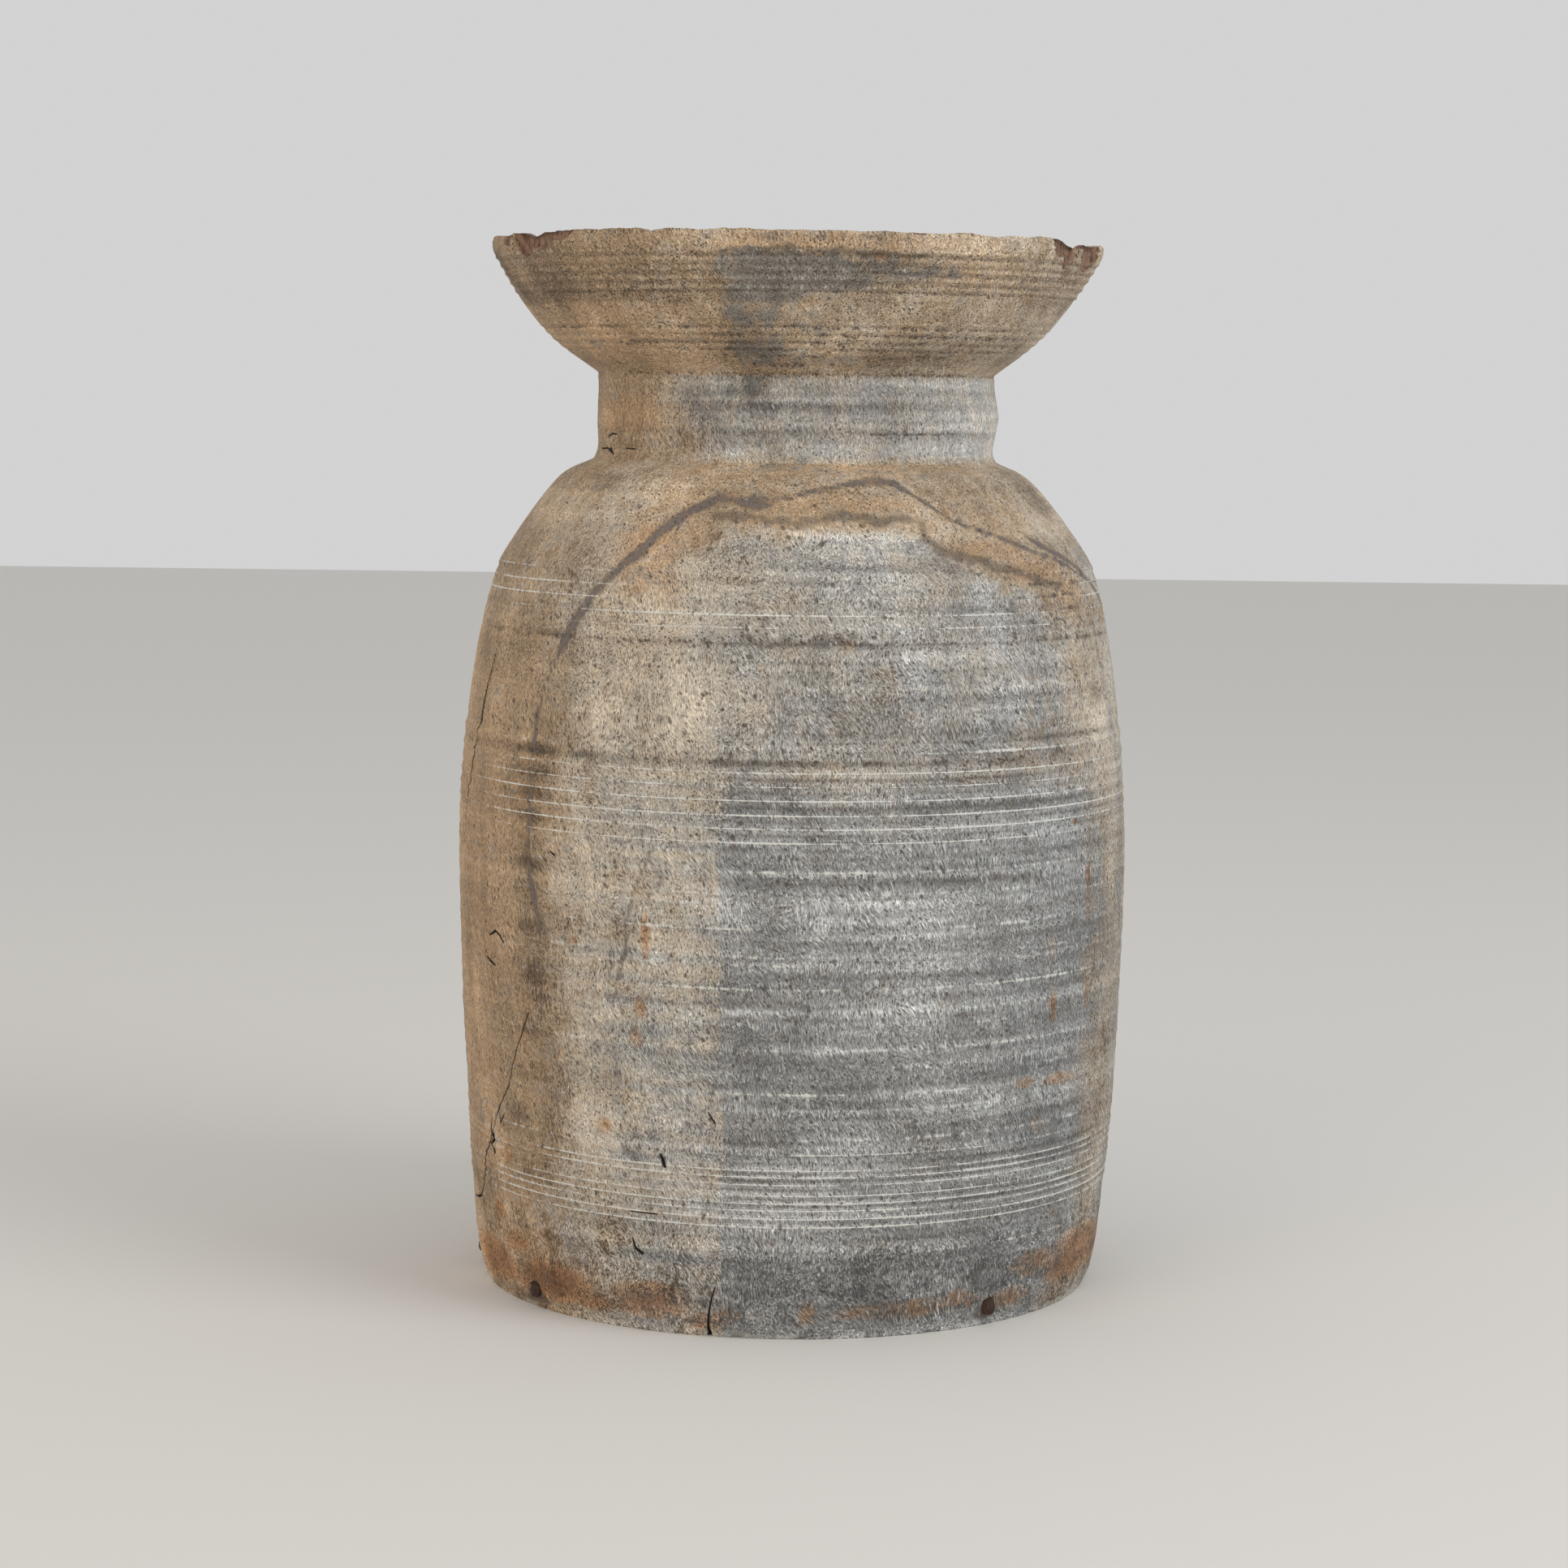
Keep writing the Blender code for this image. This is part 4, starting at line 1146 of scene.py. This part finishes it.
def veined(g, wood):
    """The dark vein with its halo and its paler core, and the soft dark lines."""
    halo = g.ragged("vein", -0.95, 0.05, mottle=3.0)
    wood = g.cover(wood, halo, 0.35, DEEP_TAN)
    core = g.ragged("vein", 0.30, 0.75, fibre=1.6, mottle=1.6)
    vein_color = g.lit(VEIN_COLOR, g.total(*g.swings(crumb=2.6, fibre=1.8)))
    vein_color = g.cover(vein_color, core, 0.75, VEIN_CORE)
    vein = g.ragged("vein", -0.30, 0.30, crumb=4.2, mottle=3.8, fibre=3.0)
    wood = g.cover(wood, vein, 0.88, vein_color)
    lines = g.ragged("soft_lines", -0.55, 0.75, crumb=2.4, mottle=4.4)
    return g.cover(wood, lines, 0.64, EDGE_COLOR)


def dusted(g, wood):
    """Dirt in the hollows of the lathe marks and in torn lines, and dust along the ridges."""
    dirt = g.ragged("dirt", 0.20, 0.95, fibre=2.2, streak=1.8)
    wood = g.cover(wood, dirt, 0.52, DIRT_COLOR)
    torn = g.ragged("pitted", 0.45, 1.10, crumb=4.0, fibre=2.4, mottle=2.0)
    torn = g.times(torn, g.ramp(g.field("pitted"), 0.02, 0.25))
    wood = g.cover(wood, torn, 0.62, DIRT_COLOR)
    dust = g.ragged("dust", 0.18, 0.60, fibre=0.9, streak=1.2)
    return g.cover(wood, dust, 0.90, DUST_COLOR)


def open_pores(g):
    """Small dark pores, most of them in dirty hollows and near the foot."""
    share = g.total(
        g.ramp(g.mottle, 0.40, 0.60, 0.10, 0.44), (0.55, g.field("dirt")), (0.16, g.foot),
        (-0.20, g.neck), (0.30, g.field("pitted")), (0.12, g.minus(1.0, g.body)),
    )
    return g.dots(g.lengthwise(0.72), 860.0, 0.40, 0.20, share)


def tool_pits(g):
    """Wider pits, nearly all along the torn lines."""
    share = g.total((0.90, g.field("pitted")), (0.05, g.body))
    return g.dots(g.lengthwise(0.85), 470.0, 0.44, 0.26, share)


def pale_hairs(g, grey):
    """Pale flecks drawn out along the fibres of the grey wood."""
    share = g.times(grey, g.ramp(g.plank, 0.40, 0.62, 0.03, 0.24))
    return g.dots(g.lengthwise(0.20), 1050.0, 0.42, 0.16, share)


def broken(g, wood):
    """Broken wood of the lip, dusty chips of the foot, and the splits: dark wood with painted shade."""
    torn_wood = g.noise(g.lengthwise(0.25), 700.0, 3.0)
    fresh_color = g.scale_color(FRESH_COLOR, g.ramp(torn_wood, 0.3, 0.7, 0.6, 1.9))
    wood = g.mix(g.ragged("fresh", 0.2, 0.7, mottle=0.9), wood, fresh_color)
    wood = g.cover(wood, g.field("pale_edge"), 0.6, DUST_COLOR)
    return g.mix(g.ragged("split", 0.12, 0.50, crumb=0.8), wood, SPLIT_SHADE_COLOR)


def inner_wood(g, light):
    """The dark wood inside, paler towards the lip."""
    color = g.mix(g.ramp(g.height, 0.360, 0.415), INSIDE_COLOR, INSIDE_LIP_COLOR)
    return g.lit(color, g.total(light, *g.swings(rings=2.2, broad_rings=2.2, blotch=1.6)))


def weathered_wood():
    """The wall's material, from the bare wood outwards and then the inside."""
    g = WoodGraph("weathered_wood_aged")
    grey = g.ragged("grey", 0.02, 0.98, mottle=1.1, blotch=1.3)
    light = wood_light(g, grey)
    pore, pit = open_pores(g), tool_pits(g)
    wood = bare_wood(g, grey, light)
    wood = stained(g, wood, light)
    wood = veined(g, wood)
    wood = dusted(g, wood)
    wood = g.cover(wood, pore, 0.78, DIRT_COLOR)
    wood = g.cover(wood, pit, 0.74, DIRT_COLOR)
    wood = g.cover(wood, pale_hairs(g, grey), 0.62, DUST_COLOR)
    wood = broken(g, wood)
    wood = g.mix(g.ramp(g.field("outside"), 0.3, 0.7, 1.0, 0.0), wood, inner_wood(g, light))
    rough = g.ramp(g.total((0.5, g.fibre), (0.5, g.mottle)), 0.35, 0.65, 0.72, 0.93)
    relief = g.total(
        (1.0, g.hair), (1.0, g.fibre), (0.8, g.streak), (0.6, g.rings), (-0.7, pore), (-0.8, pit),
        (0.7, g.crumb),
    )
    return g.finish(wood, rough, g.bump(relief, 0.40 * MM, 0.80))


def board_wood():
    g = Graph("bottom_board_aged")
    grain = g.stretched(0.07, 1.0, 1.0)
    streak = g.noise(grain, 380.0, 4.0, 0.6)
    broad = g.noise(grain, 70.0, 3.0, 0.6)
    fibre = g.noise(grain, 1300.0, 2.0, 0.6)
    dirt = g.noise(g.place, 60.0, 5.0, 0.65)
    tone = g.total((0.6, streak), (0.5, broad), (0.3, fibre))
    dark, pale, dirty = BOARD_COLORS
    wood = g.mix(g.ramp(tone, 0.45, 0.95), dark, pale)
    wood = g.mix(g.ramp(dirt, 0.50, 0.75, 0.0, 0.75), wood, dirty)
    relief = g.total((0.8, streak), (0.5, fibre), (0.4, dirt))
    return g.finish(wood, g.ramp(streak, 0.3, 0.7, 0.75, 0.95), g.bump(relief, 0.5 * MM, 0.8))


def lime_putty():
    g = Graph("putty_dry")
    lump = g.noise(g.place, 160.0, 4.0, 0.6)
    grit = g.noise(g.place, 1400.0, 2.0, 0.6)
    stain = g.noise(g.place, 45.0, 4.0, 0.6)
    dark, pale, dirty = PUTTY_COLORS
    color = g.mix(g.ramp(lump, 0.35, 0.70), dark, pale)
    color = g.mix(g.ramp(stain, 0.50, 0.75, 0.0, 0.7), color, dirty)
    relief = g.total((0.7, lump), (0.5, grit))
    return g.finish(color, g.ramp(grit, 0.3, 0.7, 0.82, 0.97), g.bump(relief, 0.4 * MM, 0.8))


def rusted_iron():
    g = Graph("rusted_iron_aged")
    scale = g.noise(g.place, 900.0, 4.0, 0.65)
    pitting = g.noise(g.place, 2600.0, 2.0, 0.6)
    dark, brown, rust = IRON_COLORS
    color = g.mix(g.ramp(scale, 0.35, 0.68), dark, brown)
    color = g.mix(g.ramp(pitting, 0.60, 0.78, 0.0, 0.7), color, rust)
    relief = g.total((0.8, scale), (0.4, pitting))
    g.shader.inputs["Metallic"].default_value = 0.35
    return g.finish(color, g.ramp(scale, 0.3, 0.7, 0.55, 0.85), g.bump(relief, 0.25 * MM, 0.9))


# ---------------------------------------------------------------------------------- the pieces
def dress(obj, material, node, body="root"):
    """Gives a piece its material and ties it to the frame in place of a CAD node."""
    obj.data.materials.clear()
    obj.data.materials.append(material)
    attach(obj, body)
    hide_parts(node)


def build_wall():
    """The pot's wall: its shape, then the nails' holes, then its colour fields and sheet."""
    grid, outside = wall_grid()
    mesh = grid_mesh("pot_wall", grid)
    add_field(mesh, "outside", outside)
    refine_along_splits(mesh)
    press_in(mesh)
    wall = add_object("pot_wall", mesh)
    drill_nail_holes(wall)
    wall.data.shade_smooth()
    paint_wall(wall.data)
    unroll_wall(wall.data)
    dress(wall, weathered_wood(), "vessel_body")


BOARD_EDGE_WEAR = 0.8 * MM
SAW_STEP, SAW_WAVE = 0.0031, 0.021     # metres of board for each radian of the saw's two waves
PUTTY_THICKNESS = 1.6 * MM


def build_board():
    """The bottom board: two sawn faces that lie a little below their worn edge."""
    low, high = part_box("bottom_board")
    radius, floor, top = high[0], low[2], high[2]
    rings = np.concatenate([np.linspace(0.04, 0.94, 34), [0.965, 0.985, 0.996, 1.0]]) * radius
    wear = BOARD_EDGE_WEAR * (rings / radius) ** 12
    faces_up = list(zip(rings, top - wear))
    edge = [(radius, height) for height in np.linspace(top - 0.002, floor + 0.002, 5)]
    faces_down = list(zip(rings, floor + wear))[::-1]
    angles, heights, radii = turned(np.array(faces_up + edge + faces_down), 180)
    x, y, _ = np.moveaxis(round_axis(angles, heights, radii), -1, 0)
    saw = 0.10 * np.sin(y / SAW_STEP + 1.5 * np.sin(x / 0.05)) + 0.12 * np.sin(y / SAW_WAVE)
    upper = heights > (floor + top) / 2
    inside = ease(radius - radii, 0.0, 0.004)
    heights = heights - np.where(upper, 1.0, -1.0) * (0.25 + saw) * MM * inside
    mesh = capped_mesh("bottom_board_sawn", round_axis(angles, heights, radii))
    board = add_object("bottom_board_sawn", mesh)
    dress(board, board_wood(), "bottom_board")


def build_putty():
    """The ring of putty: pressed in by hand, so its lower face is lumpy."""
    low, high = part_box("putty_seal")
    outer, floor, top = high[0], low[2], high[2]
    inner = outer - PUTTY_THICKNESS
    across, up = (inner + outer) / 2, (floor + top) / 2
    section = np.array([
        (inner, top), (outer, top), (outer, up), (outer, floor + 0.0009),
        (across + 0.0004, floor + 0.0002), (across - 0.0004, floor), (inner, floor + 0.0008), (inner, up),
    ])
    angles, heights, radii = turned(section, 540)
    lower = heights < floor + 0.002
    lumps = np.abs(
        0.7 * ring_noise(angles, heights, 46, 0.05, 81) + 0.4 * ring_noise(angles, heights, 150, 0.05, 82)
    )
    mesh = grid_mesh("putty_ring", round_axis(angles, heights + lower * MM * lumps, radii))
    mesh.set_sharp_from_angle(angle=SHARP_ANGLE)
    ring = add_object("putty_ring", mesh)
    dress(ring, lime_putty(), "putty_seal")


# Half width and height above the head's top, from the head's crown down to the point
NAIL_SECTION = [
    (0.0010, 0.0000), (0.0022, -0.0003), (0.0028, -0.0009), (0.0030, -0.0016), (0.0027, -0.0020),
    (0.0018, -0.0021), (0.0014, -0.0040), (0.0012, -0.0150), (0.0008, -0.0270), (0.0004, -0.0300),
]
NAIL_SIDES = 16
NAIL_HEAD_ROWS = 5             # rows of the section that belong to the hammered head
NAIL_GAP = 0.0003              # between a nail and its hole
# How the hammer changed the head: shares of its half width, and metres of its height
HAMMERED_WIDTH = (-0.16, 0.10)
HAMMERED_HEIGHT = (-0.00015, 0.0)


def nail_mesh(node, name, growth=0.0, seed=None):
    """A forged nail on its node's axis, or with growth the space that it needs."""
    low, high = (np.array(corner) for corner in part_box(node))
    centre = (low + high) / 2
    angle = math.atan2(centre[0], -centre[1])
    outward = Vector((math.sin(angle), -math.cos(angle), 0.0))
    turn = np.linspace(0.0, TURN, NAIL_SIDES, endpoint=False)
    square = 1.0 / np.maximum(np.abs(np.cos(turn)), np.abs(np.sin(turn)))
    random = None if seed is None else np.random.default_rng(seed)
    rings = []
    for number, (half_width, depth) in enumerate(NAIL_SECTION):
        head = number < NAIL_HEAD_ROWS
        reach = (half_width + growth) * (1.0 + (0.35 if head else 0.9) * (square - 1.0))
        depths = np.full(NAIL_SIDES, depth)
        if random is not None and head:
            reach = reach * (1.0 + random.uniform(*HAMMERED_WIDTH, NAIL_SIDES))
            depths = depths + random.uniform(*HAMMERED_HEIGHT, NAIL_SIDES)
        rings.append(np.column_stack([reach * np.cos(turn), reach * np.sin(turn), depths]))
    rings = np.stack(rings)
    rings[0, :, 2] += 4.0 * growth
    rings[-1, :, 2] -= growth
    mesh = capped_mesh(name, rings)
    place = Matrix.Translation(outward * nail_reach(node) + Vector((0.0, 0.0, centre[2])))
    mesh.transform(place @ outward.to_track_quat("Z", "Y").to_matrix().to_4x4())
    return mesh


def nail_reach(node):
    """How far the top of a nail's head is from the pot's axis."""
    points = vertex_points(bpy.data.objects[node].data)
    return np.hypot(points[:, 0], points[:, 1]).max() - 0.0001


def build_nail(node, material, seed):
    nail = add_object(node + "_forged", nail_mesh(node, node + "_forged", seed=seed))
    dress(nail, material, node)


def drill_nail_holes(wall):
    """Cuts the nails' holes through the wall."""
    cutters = bmesh.new()
    for node in NAIL_NODES:
        hole = nail_mesh(node, "hole", growth=NAIL_GAP)
        cutters.from_mesh(hole)
        bpy.data.meshes.remove(hole)
    mesh = bpy.data.meshes.new("nail_holes")
    cutters.to_mesh(mesh)
    cutters.free()
    cutter = add_object("nail_holes", mesh)
    drill = wall.modifiers.new("nail holes", "BOOLEAN")
    drill.operation = "DIFFERENCE"
    drill.solver = "EXACT"
    drill.object = cutter
    view = bpy.context.evaluated_depsgraph_get()
    view.update()
    drilled = bpy.data.meshes.new_from_object(wall.evaluated_get(view))
    wall.modifiers.clear()
    wall.data = drilled
    bpy.data.objects.remove(cutter)
    bpy.data.meshes.remove(mesh)


# ------------------------------------------------------------------------ floor, camera and light
FLOOR_SIZE = 12.0
FLOOR_COLOR = (0.72, 0.70, 0.67, 1.0)
SKY_COLOR = (0.90, 0.90, 0.90, 1.0)
SKY_STRENGTH = 0.72
# Name, place, aim, diameter, power and colour
LAMPS = [
    ("window_light", (1.7, -1.1, 1.5), (0.0, 0.0, 0.20), 1.5, 21.0, (0.97, 0.99, 1.0)),
    ("front_fill", (-1.4, -2.0, 1.0), (0.0, 0.0, 0.22), 1.8, 14.0, (1.0, 0.84, 0.64)),
]
CAMERA_DISTANCE = 1.5276
CAMERA_HEIGHT = 0.3580
CAMERA_PITCH = math.radians(5.898)     # downwards
CAMERA_YAW = math.radians(0.126)       # to the left
CAMERA_ROLL = math.radians(0.686)
CAMERA_LENS = 86.35


def build_floor():
    bpy.ops.mesh.primitive_plane_add(size=FLOOR_SIZE, location=(0.0, 0.0, cad_low[2]))
    floor = bpy.context.active_object
    floor.name = "floor"
    material = bpy.data.materials.new("pale_floor")
    material.use_nodes = True
    shader = material.node_tree.nodes["Principled BSDF"]
    shader.inputs["Base Color"].default_value = FLOOR_COLOR
    shader.inputs["Roughness"].default_value = 0.85
    floor.data.materials.append(material)


def build_camera():
    data = bpy.data.cameras.new("camera")
    data.sensor_width = 36.0
    data.lens = CAMERA_LENS
    data.clip_end = 50.0
    camera = add_object("camera", data)
    place = Matrix.Translation((0.0, -CAMERA_DISTANCE, CAMERA_HEIGHT))
    look = Matrix.Rotation(CAMERA_YAW, 4, "Z") @ Matrix.Rotation(math.pi / 2 - CAMERA_PITCH, 4, "X")
    camera.matrix_world = place @ look @ Matrix.Rotation(CAMERA_ROLL, 4, "Z")
    bpy.context.scene.camera = camera


def area_light(name, position, target, size, energy, color):
    data = bpy.data.lights.new(name, "AREA")
    data.shape = "DISK"
    data.size = size
    data.energy = energy
    data.color = color
    light = add_object(name, data)
    aim = Vector(target) - Vector(position)
    light.matrix_world = Matrix.Translation(position) @ aim.to_track_quat("-Z", "Y").to_matrix().to_4x4()


def build_light():
    world = bpy.data.worlds.new("soft_sky")
    world.use_nodes = True
    sky = world.node_tree.nodes["Background"]
    sky.inputs["Color"].default_value = SKY_COLOR
    sky.inputs["Strength"].default_value = SKY_STRENGTH
    bpy.context.scene.world = world
    for lamp in LAMPS:
        area_light(*lamp)
    bpy.context.scene.view_settings.view_transform = "Standard"


build_camera()
build_light()
build_floor()
build_wall()
build_board()
build_putty()
iron = rusted_iron()
for number, name in enumerate(NAIL_NODES):
    build_nail(name, iron, 90 + number)
